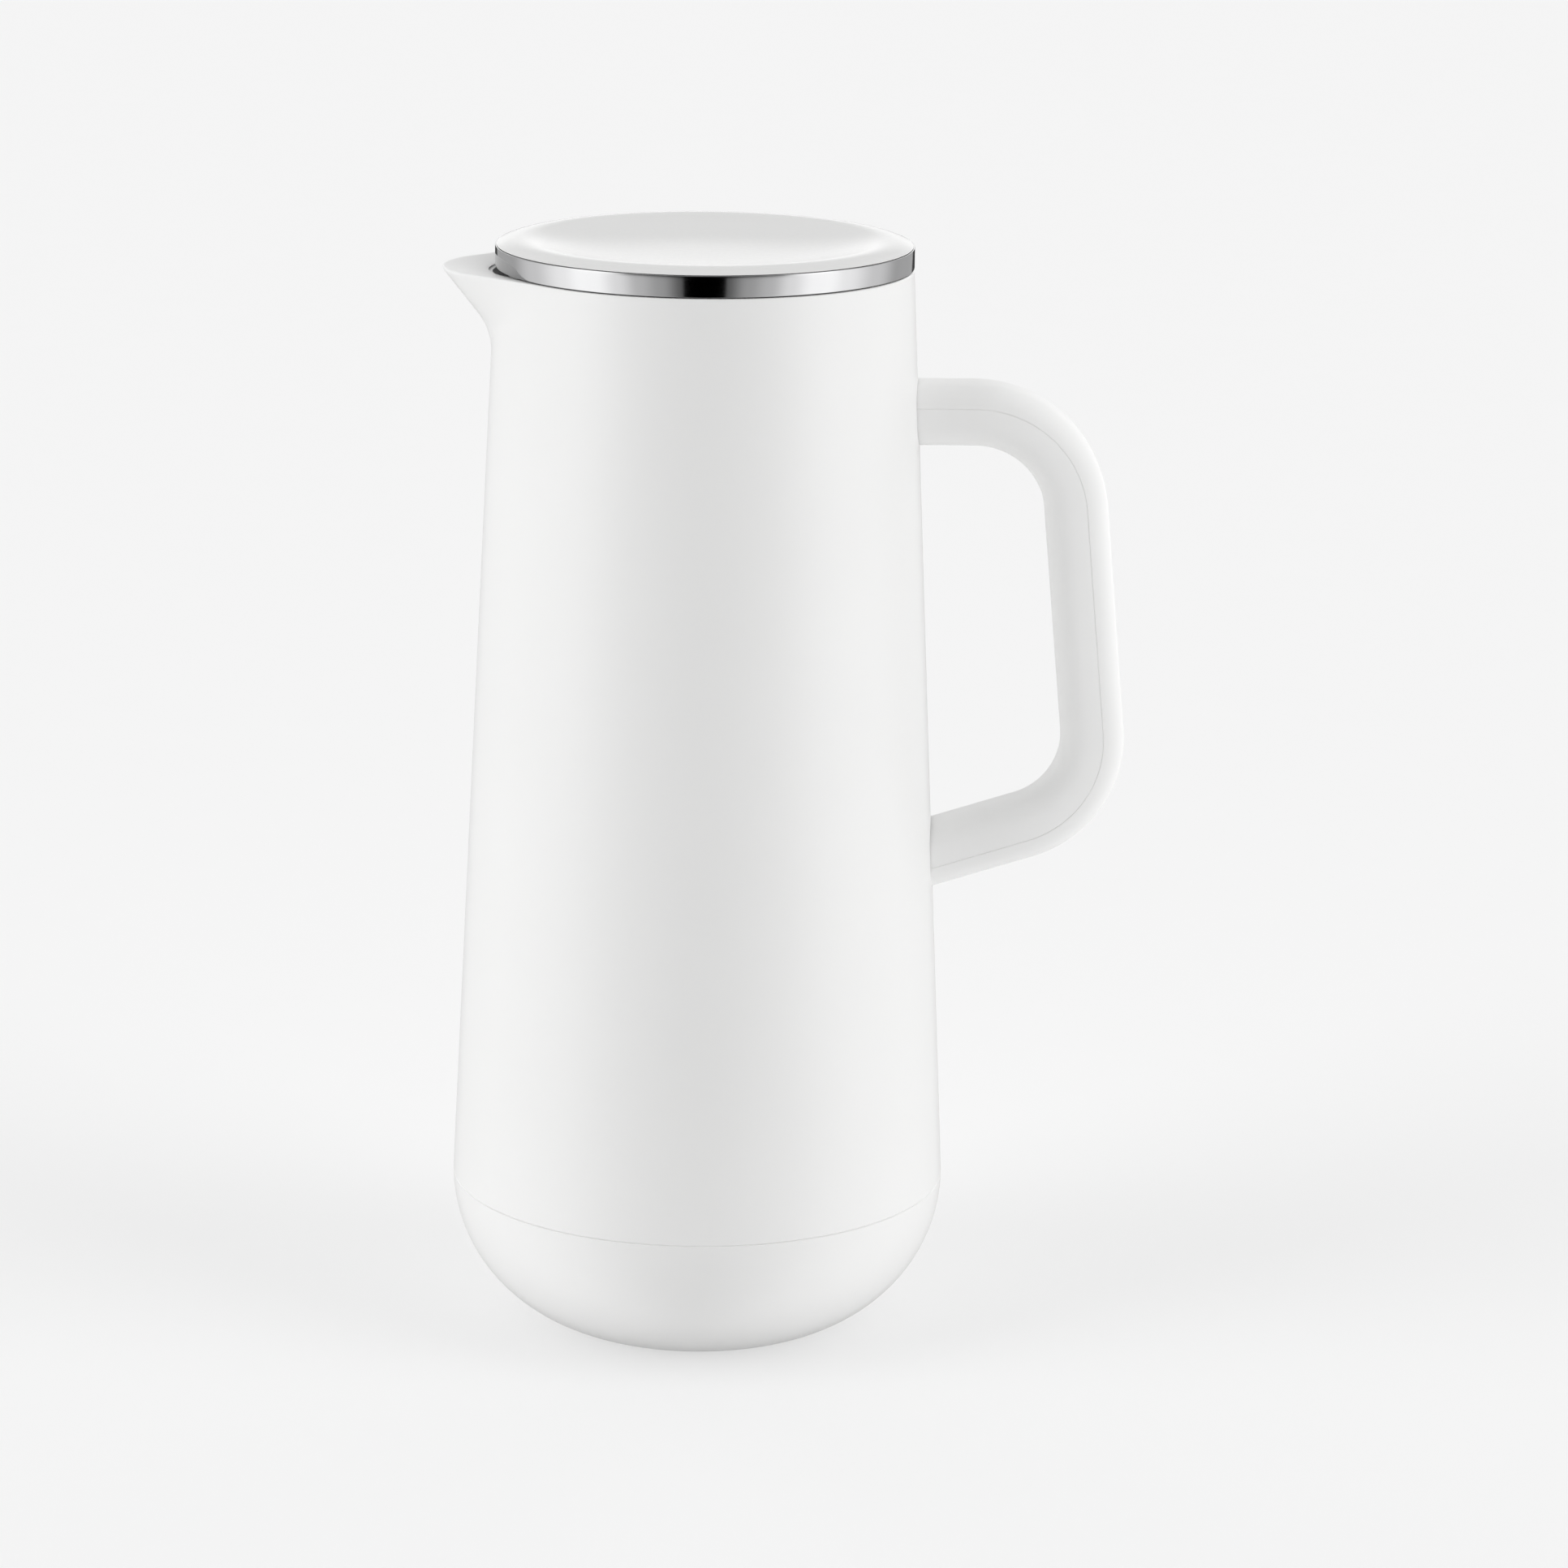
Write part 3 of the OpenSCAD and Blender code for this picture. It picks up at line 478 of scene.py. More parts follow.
FOOT_RUBBER = finish("foot_rubber", (0.11, 0.11, 0.115), 0.7, tint=0.06, grain=1500, bump=0.3,
                     spread=0.08)
FASTENER_STEEL = finish("fastener_steel", (0.6, 0.6, 0.61), 0.25, metallic=1, tint=0.03, grain=900,
                        bump=0.05)
GETTER_METAL = finish("getter_metal", (0.35, 0.34, 0.33), 0.5, metallic=1, tint=0.08, grain=1200, bump=0.2)

FINISHES = {
    "body_white": BODY_WHITE, "handle_white": HANDLE_WHITE, "cap_white": CAP_WHITE,
    "band_steel": BAND_STEEL, "flask_steel": FLASK_STEEL, "inner_plastic": INNER_PLASTIC,
    "seal_rubber": SEAL_RUBBER, "foot_rubber": FOOT_RUBBER, "fastener_steel": FASTENER_STEEL,
    "getter_metal": GETTER_METAL,
}

# Spout and trough


def circle_reach(angle, middle, radius):
    """Distance from the axis to the far side of a circle whose middle lies on the spout's line."""
    return middle * math.cos(angle) + math.sqrt(max(0.0, radius ** 2 - (middle * math.sin(angle)) ** 2))


def hull_reach(angle, far, far_r, near, near_r):
    """Distance from the axis to the hull of two circles on the spout's line, in a direction off it."""
    angle = abs(angle)
    if far + far_r <= near + near_r:
        return circle_reach(angle, near, near_r)
    lean = math.acos((near_r - far_r) / (far - near))
    far_touch = math.atan2(far_r * math.sin(lean), far + far_r * math.cos(lean))
    near_touch = math.atan2(near_r * math.sin(lean), near + near_r * math.cos(lean))
    if angle <= far_touch:
        return circle_reach(angle, far, far_r)
    if angle >= near_touch:
        return circle_reach(angle, near, near_r)
    return (near * math.cos(lean) + near_r) / math.cos(angle - lean)


def spout_out(depth):
    """How far the spout stands out of the cone at a depth below the rim."""
    if depth <= SPOUT_STRAIGHT:
        return SPOUT_REACH - depth * math.tan(SPOUT_LEAN)
    rise = math.sin(SPOUT_LEAN) - (depth - SPOUT_STRAIGHT) / SPOUT_BLEND_R
    return SPOUT_BLEND_R * (1 - math.sqrt(1 - rise ** 2)) if rise > 0 else 0.0


def outer_reach(angle, z):
    """Radius of the body's outside, spout and all."""
    out = spout_out(RIM_Z - z)
    return hull_reach(angle, body_r(z) + out - SPOUT_TIP_R, SPOUT_TIP_R, 0.0, body_r(z))


def basin_reach(angle, depth):
    """Radius of the shallow basin behind the lip at a depth below the rim."""
    share = depth / BASIN_DEPTH
    floor = BASIN_FAR - THROAT_R
    far = TROUGH_TIP + (floor - TROUGH_TIP) * share
    far_r = SPOUT_TIP_R - LIP_W + (THROAT_R + SLIP - SPOUT_TIP_R + LIP_W) * share
    near_r = shell_in_r(RIM_Z) + (THROAT_R + SLIP - shell_in_r(RIM_Z)) * share
    return hull_reach(angle, far, far_r, floor * share, near_r)


def throat_middle(depth):
    """Middle of the throat's circle at a depth below the rim."""
    fall = max(0.0, (depth - BASIN_DEPTH) / (TROUGH_DEPTH - BASIN_DEPTH)) ** THROAT_BEND
    return BASIN_FAR + (shell_in_r(RIM_Z) - BASIN_FAR) * fall - THROAT_R


def trough_reach(angle, depth):
    """Radius of the trough at a depth below the rim, with a soft edge between its basin and its throat."""
    basin = basin_reach(angle, depth) if depth < BASIN_END else 0.0
    middle = throat_middle(depth)
    if abs(math.sin(angle)) * middle >= THROAT_R:
        return basin
    throat = circle_reach(angle, middle, THROAT_R)
    blend = max(0.0, 1 - abs(basin - throat) / BASIN_BLEND)
    return max(basin, throat) + blend ** 2 * BASIN_BLEND / 4


def inner_reach(angle, plain_r, z):
    """Radius of the shell's inside at a height, where the trough may reach past its plain wall."""
    depth = RIM_Z - z
    return max(plain_r, trough_reach(angle, depth)) if depth < TROUGH_DEPTH else plain_r


def directions():
    """Directions round the body from the spout's line, closer together near the spout."""
    sweep = 2 * math.pi - 2 * SPOUT_HALF_ANGLE
    fine = int(round(2 * SPOUT_HALF_ANGLE / FINE_STEP))
    coarse = int(round(sweep / COARSE_STEP))
    angles = [-SPOUT_HALF_ANGLE + 2 * SPOUT_HALF_ANGLE * i / fine for i in range(fine)]
    return angles + [SPOUT_HALF_ANGLE + sweep * i / coarse for i in range(coarse)]


def off_spout(angle):
    """The same direction as a turn of at most half a circle from the spout's line."""
    return (angle + math.pi) % (2 * math.pi) - math.pi


# Jug


def outside_rows(angle, top_z):
    """Points up the outside of the shell in one direction, from the seam to the lip."""
    foot_z = SEAM_Z + SEAM_GROOVE
    heights = [foot_z + (SPOUT_ROWS_Z - foot_z) * i / PLAIN_ROWS for i in range(PLAIN_ROWS)]
    heights += [SPOUT_ROWS_Z + (top_z - SPOUT_ROWS_Z) * i / SPOUT_ROWS for i in range(SPOUT_ROWS + 1)]
    return [(outer_reach(angle, z), z) for z in heights]


def inside_rows(angle, top_z):
    """Points down the inside of the shell in one direction: basin, wall, ledge, throat and plain cone."""
    upper = [top_z + (BASIN_ROWS_Z - top_z) * i / BASIN_ROWS for i in range(1, BASIN_ROWS + 1)]
    upper += [BASIN_ROWS_Z + (LEDGE_TOP_Z - BASIN_ROWS_Z) * i / WALL_ROWS for i in range(1, WALL_ROWS + 1)]
    lower = [LEDGE_LOW_Z + (TROUGH_Z - LEDGE_LOW_Z) * i / THROAT_ROWS for i in range(THROAT_ROWS + 1)]
    lower += [TROUGH_Z + (SEAM_Z - TROUGH_Z) * i / (CONE_ROWS + 1) for i in range(1, CONE_ROWS + 1)]
    rows = [(inner_reach(angle, shell_in_r(z), z), z) for z in upper]
    rows += [(inner_reach(angle, LEDGE_IN_R, z), z) for z in (LEDGE_TOP_Z, LEDGE_LOW_Z)]
    return rows + [(inner_reach(angle, shell_in_r(z), z), z) for z in lower]


def shell_column(angle):
    """Half profile of the body shell in one direction: up the outside, over the lip, down the inside."""
    edge = outer_reach(angle, RIM_Z)
    inside = max(shell_in_r(RIM_Z), trough_reach(angle, 0))
    share = (edge - RIM_R) / SPOUT_REACH
    drop = LIP_ROUND + (LIP_SOFT - LIP_ROUND) * share
    land = min(drop, LIP_OUTER_SHARE * (edge - inside))
    soft = min(LIP_ROUND, LIP_INNER_SHARE * (edge - inside))
    under = RIM_Z - LIP_ROUND
    lip_end = (inner_reach(angle, shell_in_r(under), under), under)

    column = [(shell_in_r(SEAM_Z), SEAM_Z), (SEAM_R - SEAM_GROOVE, SEAM_Z)]
    column += outside_rows(angle, RIM_Z - drop)
    column += bezier(column[-1], (edge, RIM_Z), (edge - land, RIM_Z), steps=8)
    column.append((inside + soft, RIM_Z))
    column += bezier(column[-1], (inside, RIM_Z), lip_end, steps=5)
    return column + inside_rows(angle, under)


def make_body():
    """The body shell with its spout, from one half profile in each direction."""
    angles = directions()
    columns = [shell_column(off_spout(a)) for a in angles]
    points = [(-r * math.cos(a), -r * math.sin(a), z)
              for a, column in zip(angles, columns) for r, z in column]
    faces = loop_faces(len(angles), len(columns[0]))
    return new_piece("body", points, faces, "jug", BODY_WHITE, ["body_shell"])


def make_base():
    """The rounded base, with a recess for the foot pad and a spigot that goes up into the shell."""
    low = math.asin((FOOT_Z - SEAM_Z) / BASE_ARC_R)
    in_r = BASE_ARC_R - BASE_WALL
    in_low = math.asin((BASE_FLOOR_Z - SEAM_Z) / in_r)
    spigot = shell_in_r(SEAM_Z + SPIGOT_H) - SLIP
    spigot_in = spigot - SPIGOT_WALL
    top = math.asin(-SEAM_GROOVE / BASE_ARC_R)
    outline = [(SEAM_R - SEAM_GROOVE, SEAM_Z)]
    outline += arc((BASE_ARC_X, SEAM_Z), BASE_ARC_R, top, low, steps=40)
    outline += [(PAD_R + SLIP, FOOT_Z), (PAD_R + SLIP, PAD_T), (0, PAD_T), (0, BASE_FLOOR_Z)]
    inside = arc((BASE_ARC_X, SEAM_Z), in_r, in_low, BASE_ARC_END, steps=20)
    outline += [p for p in inside if p[0] < spigot_in]
    outline += [(spigot_in, SEAM_Z - SPIGOT_ROOT), (spigot_in, SEAM_Z + SPIGOT_H),
                (spigot, SEAM_Z + SPIGOT_H), (spigot, SEAM_Z)]
    points, faces = turned(outline)
    return new_piece("base", points, faces, "jug", BODY_WHITE, ["base_cup"])


def make_foot():
    """The foot pad, with ring grooves in its underside."""
    section = ((-1, 0), (-0.5, FOOT_GROOVE_DEPTH), (0.5, FOOT_GROOVE_DEPTH), (1, 0))
    corners = [(0, PAD_T, 0), (0, 0, 0)]
    for middle in FOOT_GROOVES:
        corners += [(middle + off * FOOT_GROOVE_W, z, FOOT_GROOVE_SOFT) for off, z in section]
    corners += [(PAD_R, 0, FOOT_EDGE), (PAD_R, PAD_T, 0)]
    points, faces = turned(rounded(corners, steps=4))
    return new_piece("foot", points, faces, "jug", FOOT_RUBBER, ["foot_pad"])


# Handle


def along(point, direction, distance):
    """A point at a distance from another, in a direction of the handle's plane."""
    return (point[0] + distance * math.cos(direction), point[1] + distance * math.sin(direction))


CORNER_TOP = (body_r(HANDLE_TOP_Z) + HANDLE_REACH_TOP, HANDLE_TOP_Z)
CORNER_LOW = (body_r(HANDLE_LOW_Z) + HANDLE_REACH_LOW, HANDLE_LOW_Z)
GRIP_DIR = math.atan2(CORNER_LOW[1] - CORNER_TOP[1], CORNER_LOW[0] - CORNER_TOP[0])
UPPER_TURN = -GRIP_DIR
LOWER_TURN = math.pi - LOWER_ARM_RISE - UPPER_TURN
UPPER_START = along(CORNER_TOP, 0, -UPPER_BEND_R * math.tan(UPPER_TURN / 2))
GRIP_END = along(CORNER_LOW, GRIP_DIR, -LOWER_BEND_R * math.tan(LOWER_TURN / 2))
UPPER_MIDDLE = along(UPPER_START, -math.pi / 2, UPPER_BEND_R)
LOWER_MIDDLE = along(GRIP_END, GRIP_DIR - math.pi / 2, LOWER_BEND_R)
UPPER_ROOT = (body_r(HANDLE_TOP_Z), HANDLE_TOP_Z)
ARM_SLOPE = math.tan(LOWER_ARM_RISE)
LOWER_ROOT_X = ((RIM_R + TAPER * (RIM_Z - CORNER_LOW[1] + CORNER_LOW[0] * ARM_SLOPE))
                / (1 + TAPER * ARM_SLOPE))
LOWER_ROOT = (LOWER_ROOT_X, CORNER_LOW[1] + (LOWER_ROOT_X - CORNER_LOW[0]) * ARM_SLOPE)
LOWER_ARM_DIR = math.pi + LOWER_ARM_RISE


def handle_stations():
    """Points, directions and whether the moulding is solid, from the handle's upper to its lower root."""
    ramp_end = BOSS_LEN + HANDLE_WALL / 2
    stations = [(UPPER_ROOT, 0.0, True), (along(UPPER_ROOT, 0, BOSS_LEN), 0.0, True),
                (along(UPPER_ROOT, 0, ramp_end), 0.0, False)]
    for middle, radius, start, turn in ((UPPER_MIDDLE, UPPER_BEND_R, 0.0, UPPER_TURN),
                                        (LOWER_MIDDLE, LOWER_BEND_R, GRIP_DIR, LOWER_TURN)):
        for i in range(BEND_STEPS + 1):
            direction = start - turn * i / BEND_STEPS
            stations.append((along(middle, direction + math.pi / 2, radius), direction, False))
    stations += [(along(LOWER_ROOT, LOWER_ARM_RISE, ramp_end), LOWER_ARM_DIR, False),
                 (along(LOWER_ROOT, LOWER_ARM_RISE, BOSS_LEN), LOWER_ARM_DIR, True),
                 (LOWER_ROOT, LOWER_ARM_DIR, True)]
    return stations


def onto_wall(point, direction, inset):
    """Moves a point of the handle along its arm until it lies in the body's cone, drawn in by an inset."""
    x, y, z = point
    step_x, step_z = math.cos(direction), math.sin(direction)
    for _ in range(WALL_TRIES):
        off = math.hypot(x, y) - (body_r(z) - inset)
        slope = x / math.hypot(x, y) * step_x + TAPER * step_z
        x -= off / slope * step_x
        z -= off / slope * step_z
    return x, y, z


def handle_loft(sections, inset):
    """Points and faces of a handle piece whose two ends lie in the body's wall."""
    stations = handle_stations()
    points = []
    for i, ((place, direction, _), section) in enumerate(zip(stations, sections)):
        end = i in (0, len(stations) - 1)
        for n, y in section:
            x, z = along(place, direction + math.pi / 2, n)
            points.append(onto_wall((x, y, z), direction, inset) if end else (x, y, z))
    return points, loft_faces(len(stations), len(sections[0]))


def grip_section(solid):
    """The grip's moulded channel: n points out of the loop, y across the handle."""
    half_w, half_t, r = HANDLE_W / 2, HANDLE_T / 2, GRIP_CORNER_R
    inner = half_w - HANDLE_WALL
    floor = COVER_SPLIT - TONGUE_H - SLIP if solid else HANDLE_WALL - half_t
    corners = [(COVER_SPLIT, -half_w, PARTING_SOFT), (COVER_SPLIT, -inner, 0), (floor, -inner, 0),
               (floor, inner, 0), (COVER_SPLIT, inner, 0), (COVER_SPLIT, half_w, PARTING_SOFT),
               (-half_t, half_w, r), (-half_t, -half_w, r)]
    return rounded(corners, steps=8)


def cover_section():
    """The cover strip: a tongue in the channel and a fine groove along each edge."""
    half_w, half_t, r = HANDLE_W / 2, HANDLE_T / 2, COVER_CORNER_R
    edge = COVER_SPLIT + PARTING_GROOVE
    land = half_w - PARTING_GROOVE
    tongue = half_w - HANDLE_WALL - SLIP
    tongue_end = COVER_SPLIT - TONGUE_H
    corners = [(edge, -half_w, PARTING_SOFT), (half_t, -half_w, r), (half_t, half_w, r),
               (edge, half_w, PARTING_SOFT), (edge, land, 0), (COVER_SPLIT, land, 0),
               (COVER_SPLIT, tongue, 0), (tongue_end, tongue, 0), (tongue_end, -tongue, 0),
               (COVER_SPLIT, -tongue, 0), (COVER_SPLIT, -land, 0), (edge, -land, 0)]
    return rounded(corners, steps=8)


def make_handle():
    """The handle's grip and its cover, whose ends stand in the body's seats."""
    stations = handle_stations()
    inset = HANDLE_SEAT - SEAT_GAP
    points, faces = handle_loft([grip_section(solid) for _, _, solid in stations], inset)
    new_piece("grip", points, faces, "jug", HANDLE_WHITE, ["handle_grip"])
    points, faces = handle_loft([cover_section() for _ in stations], inset)
    new_piece("cover", points, faces, "jug", HANDLE_WHITE, ["handle_cover"])


def cut_seats(body):
    """Shallow seats in the body's wall that the handle's ends stand in."""
    half_w, half_t = HANDLE_W / 2 + SLIP, HANDLE_T / 2 + SLIP
    out_r, in_r = COVER_CORNER_R + SLIP, GRIP_CORNER_R + SLIP
    corners = [(half_t, -half_w, out_r), (half_t, half_w, out_r),
               (-half_t, half_w, in_r), (-half_t, -half_w, in_r)]
    section = rounded(corners, steps=8)
    for root, direction in ((UPPER_ROOT, 0.0), (LOWER_ROOT, LOWER_ARM_RISE)):
        points = []
        for out in (0, SEAT_CUT):
            for n, y in section:
                x, z = along(root, direction + math.pi / 2, n)
                x, y, z = onto_wall((x, y, z), direction, HANDLE_SEAT)
                x, z = along((x, z), direction, out)
                points.append((x, y, z))
        faces = loft_faces(2, len(section))
        cut(body, new_piece("seat_cutter", points, faces, None, BODY_WHITE))


# Lid


def cap_top():
    """Half profile of the cap from its middle out: the hollow, the round crest and the edge."""
    out_r = RIM_R - CAP_SETBACK
    rise = DISH_DEPTH - CAP_ROLL_R * (1 - math.cos(DISH_SLOPE))
    power = DISH_TURN_R * math.tan(DISH_SLOPE) / rise
    shares = [k / DISH_STEPS for k in range(DISH_STEPS)]
    outline = [Vector((DISH_TURN_R * s, DISH_Z + rise * s ** power)) for s in shares]
    crest_middle = (CREST_R, cap_high.z - CAP_ROLL_R)
    edge_turn = math.acos((out_r - CREST_R) / CAP_ROLL_R) + CAP_EDGE_TURN
    outline += arc(crest_middle, CAP_ROLL_R, math.pi / 2 + DISH_SLOPE, edge_turn, steps=24)
    corner = (out_r, outline[-1][1] - CAP_EDGE_DROP)
    return outline + bezier(outline[-1], corner, (out_r, band_high.z + CAP_EDGE_GAP), steps=4)


def cap_under():
    """Half profile of the cap from its edge in: the wall in the band, the skirt and the underside."""
    edge_z = band_high.z + CAP_EDGE_GAP
    wall_r = RIM_R - BAND_T - RUNNING
    wall_low = band_low.z + BAND_HEM + RUNNING
    skirt_in = SKIRT_R - CAP_WALL
    skirt_top = band_high.z - CAP_WALL / 2
    seat = DISH_Z - CAP_WALL
    outline = [(wall_r, edge_z), (wall_r, wall_low), (SKIRT_R, wall_low), (SKIRT_R, cap_low.z),
               (skirt_in, cap_low.z), (skirt_in, skirt_top)]
    middle_z = DISH_Z + DISH_ARC_R
    radius = DISH_ARC_R + CAP_WALL
    start = math.acos((middle_z - skirt_top) / radius) - math.pi / 2
    end = math.asin((CAP_BOSS_R - DISH_FLAT_R) / radius) - math.pi / 2
    outline += arc((DISH_FLAT_R, middle_z), radius, start, end, steps=12)
    return outline + [(CAP_BOSS_R, seat), (0, seat)]


def make_cap():
    """The dished cap with a boss under its middle."""
    points, faces = turned(cap_top() + cap_under())
    return new_piece("cap", points, faces, "cap", CAP_WHITE, ["lid_cap"])


def make_band():
    """The polished band round the cap, with a hem turned in under it."""
    in_r = RIM_R - BAND_T
    hem_r = RIM_R - BAND_HEM_W
    low, high = band_low.z, band_high.z
    corners = [(in_r, high, BAND_SOFT), (RIM_R, high, BAND_SOFT), (RIM_R, low, BAND_SOFT), (hem_r, low, 0),
               (hem_r, low + BAND_HEM, 0), (in_r, low + BAND_HEM, 0)]
    points, faces = turned(rounded(corners, steps=5))
    return new_piece("band", points, faces, "cap", BAND_STEEL, ["lid_band"],
                     sharp=BAND_SHARP_ANGLE)


# Flask mouth and collar


def make_liner():
    """The inner flask with its domed shoulder and the flange of its lip."""
    in_r = LINER_OUT_R - FLASK_WALL
    shoulder = LIP_Z - NECK_H - (in_r - MOUTH_R)
    corner_x = in_r - LINER_CORNER_R
    corner_z = LINER_Z + FLASK_WALL + LINER_CORNER_R
    neck_out = MOUTH_R + FLASK_WALL
    dome_out = LINER_OUT_R - MOUTH_R
    down, right, up = -math.pi / 2, 0, math.pi / 2
    outline = [(0, LINER_Z + FLASK_WALL)]
    outline += arc((corner_x, corner_z), LINER_CORNER_R, down, right, steps=10)
    outline += arc((MOUTH_R, shoulder), in_r - MOUTH_R, right, up, steps=16)
    outline += bezier((MOUTH_R, LIP_Z - FLASK_WALL), (MOUTH_R, LIP_Z), (neck_out, LIP_Z), steps=4)
    outline += [(NECK_OUT_R, LIP_Z), (NECK_OUT_R, LIP_Z - FLASK_WALL), (neck_out, LIP_Z - FLASK_WALL)]
    outline += arc((MOUTH_R, shoulder), dome_out, math.acos(FLASK_WALL / dome_out), right, steps=16)
    outline += arc((corner_x, corner_z), LINER_CORNER_R + FLASK_WALL, right, down, steps=10)
    outline.append((0, LINER_Z))
    points, faces = turned(outline)
    return new_piece("liner", points, faces, "jug", FLASK_STEEL, ["flask_liner"])


def throat_cutter():
    """The throat as a solid, to cut its notch out of the collar."""
    fall = TROUGH_DEPTH - BASIN_DEPTH
    depths = [-CUT_OVER] + [BASIN_DEPTH + fall * i / CUTTER_ROWS for i in range(CUTTER_ROWS + 1)]
    turns = [2 * math.pi * k / CUTTER_RING for k in range(CUTTER_RING)]
    points = [(-throat_middle(d) - THROAT_R * math.cos(t), THROAT_R * math.sin(t), RIM_Z - d)
              for d in depths for t in turns]
    faces = loft_faces(len(depths), CUTTER_RING)
    return new_piece("throat_cutter", points, faces, None, INNER_PLASTIC)


def make_collar():
    """The pour collar, with a flared top, a notch under the throat and the stopper's thread."""
    floor_z = COLLAR_LOW_Z + COLLAR_WALL
    band_z = COLLAR_TOP_Z - COLLAR_BAND_H
    out_r = BORE_R + COLLAR_WALL
    skirt_in = NECK_OUT_R + SLIP
    skirt_out = skirt_in + COLLAR_WALL
    soft = MOULD_SOFT
    corners = [(MOUTH_R, COLLAR_LOW_Z, 0), (MOUTH_R, floor_z, soft), (BORE_R, floor_z, soft),
               (BORE_R, FLARE_Z, FLARE_BEND_R), (LEDGE_IN_R, COLLAR_TOP_Z, soft),
               (COLLAR_OUT_R, COLLAR_TOP_Z, 0), (COLLAR_OUT_R, band_z, soft),
               (out_r, FLARE_Z - COLLAR_WALL, FLARE_BEND_R), (out_r, COLLAR_LOW_Z, soft),
               (skirt_out, COLLAR_LOW_Z, 0), (skirt_out, COLLAR_SKIRT_Z, soft),
               (skirt_in, COLLAR_SKIRT_Z, soft), (skirt_in, COLLAR_LOW_Z, 0)]
    points, faces = turned(rounded(corners, steps=5))
    collar = new_piece("collar", points, faces, "jug", INNER_PLASTIC, ["pour_collar"])
    cut(collar, throat_cutter())
    make_thread("collar_thread", "jug", BORE_R, -THREAD_H, COLLAR_THREAD_Z)


def make_thread(name, body, wall_r, height, low):
    """A helical ridge that stands on a round wall and runs out to nothing at both ends."""
    steps = int(THREAD_TURNS * ROUND_STEPS)
    root = wall_r - THREAD_SINK * height
    half_root, half_crest = THREAD_W / 2, THREAD_CREST * THREAD_W / 2
    points = []
    for i in range(steps + 1):
        share = i / steps
        turn = 2 * math.pi * THREAD_TURNS * share
        z = low + THREAD_PITCH * THREAD_TURNS * share
        crest = wall_r + height * min(1, share / THREAD_FADE, (1 - share) / THREAD_FADE)
        for r, off in ((root, -half_root), (crest, -half_crest), (crest, half_crest), (root, half_root)):
            points.append((r * math.cos(turn), r * math.sin(turn), z + off))
    return new_piece(name, points, loft_faces(steps + 1, 4), body, INNER_PLASTIC)


def make_seal(name, node, body, in_r, out_r, low):
    """A silicone ring with soft edges."""
    places = ((in_r, low), (out_r, low), (out_r, low + RING_T), (in_r, low + RING_T))
    points, faces = turned(rounded([(r, z, SEAL_BULGE) for r, z in places], steps=5))
    return new_piece(name, points, faces, body, SEAL_RUBBER, [node])


# Stopper and valve


def window_cutter(turn):
    """One pouring window with round corners, in a direction off the spout's line."""
    low, high, half = FLARE_Z + WINDOW_MARGIN, PLATE_LOW_Z - WINDOW_MARGIN, WINDOW_W / 2
    places = ((-half, low), (half, low), (half, high), (-half, high))
    shape = rounded([(y, z, WINDOW_CORNER_R) for y, z in places], steps=6)
    spin = Matrix.Rotation(math.pi + turn, 3, "Z")
    ends = (PLUG_R - 2 * PLUG_WALL, PLUG_R + PLUG_WALL)
    points = [spin @ Vector((r, y, z)) for r in ends for y, z in shape]
    return new_piece("window_cutter", points, loft_faces(2, len(shape)), None, INNER_PLASTIC)


def make_stopper():
    """The stopper's moulding: plate, threaded wall with pouring windows, and the valve's seat."""
    bearing_r = SLEEVE_R + RUNNING
    bearing_out = SLEEVE_R + BEARING_WALL
    bearing_z = PLATE_LOW_Z - BEARING_H
    in_r = PLUG_R - PLUG_WALL
    seat_z = PLUG_Z + PLUG_WALL
    soft = MOULD_SOFT
    corners = [(PLUG_R, PLUG_Z, soft), (PLUG_R, PLATE_LOW_Z, soft), (PLATE_R, PLATE_LOW_Z, soft),
               (PLATE_R, PLATE_TOP_Z, soft), (bearing_r, PLATE_TOP_Z, 0), (bearing_r, bearing_z, 0),
               (bearing_out, bearing_z, 0), (bearing_out, PLATE_LOW_Z, soft), (in_r, PLATE_LOW_Z, soft),
               (in_r, seat_z, soft), (SEAT_R, seat_z, soft), (SEAT_R, PLUG_Z, soft)]
    points, faces = turned(rounded(corners, steps=4))
    stopper = new_piece("stopper", points, faces, "stopper", INNER_PLASTIC,
                        ["stopper_body"])
    for turn in (-WINDOW_TURN, 0, WINDOW_TURN):
        cut(stopper, window_cutter(turn))
    make_thread("stopper_thread", "stopper", PLUG_R, THREAD_H, STOPPER_THREAD_Z)


def make_guide():
    """The tube that guides the valve's stem, with upright slots for the cross pin, and its spokes."""
    bore = STEM_R + RUNNING
    places = ((bore, PLUG_Z), (GUIDE_R, PLUG_Z), (GUIDE_R, PLATE_LOW_Z), (bore, PLATE_LOW_Z))
    points, faces = turned(rounded([(r, z, GUIDE_SOFT) for r, z in places], steps=3))
    guide = new_piece("guide", points, faces, "stopper", INNER_PLASTIC)
    pin_low, pin_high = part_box("cross_pin")
    half, reach = PIN_R + SLIP, GUIDE_R + PLUG_WALL
    points, faces = block((-reach, -half, pin_low.z - SLIP - VALVE_DROP), (reach, half, pin_high.z + SLIP))
    cut(guide, new_piece("slot_cutter", points, faces, None, INNER_PLASTIC))
    points, faces = block((GUIDE_R - SPOKE_LAP, -SPOKE_W / 2, PLUG_Z),
                          (SEAT_R + SPOKE_LAP, SPOKE_W / 2, PLUG_Z + PLUG_WALL))
    for i in range(SPOKES):
        spin = Matrix.Rotation(2 * math.pi / SPOKES * (i + 0.5), 3, "Z")
        spoke = [spin @ Vector(p) for p in points]
        new_piece(f"spoke_{i + 1}", spoke, faces, "stopper", INNER_PLASTIC)


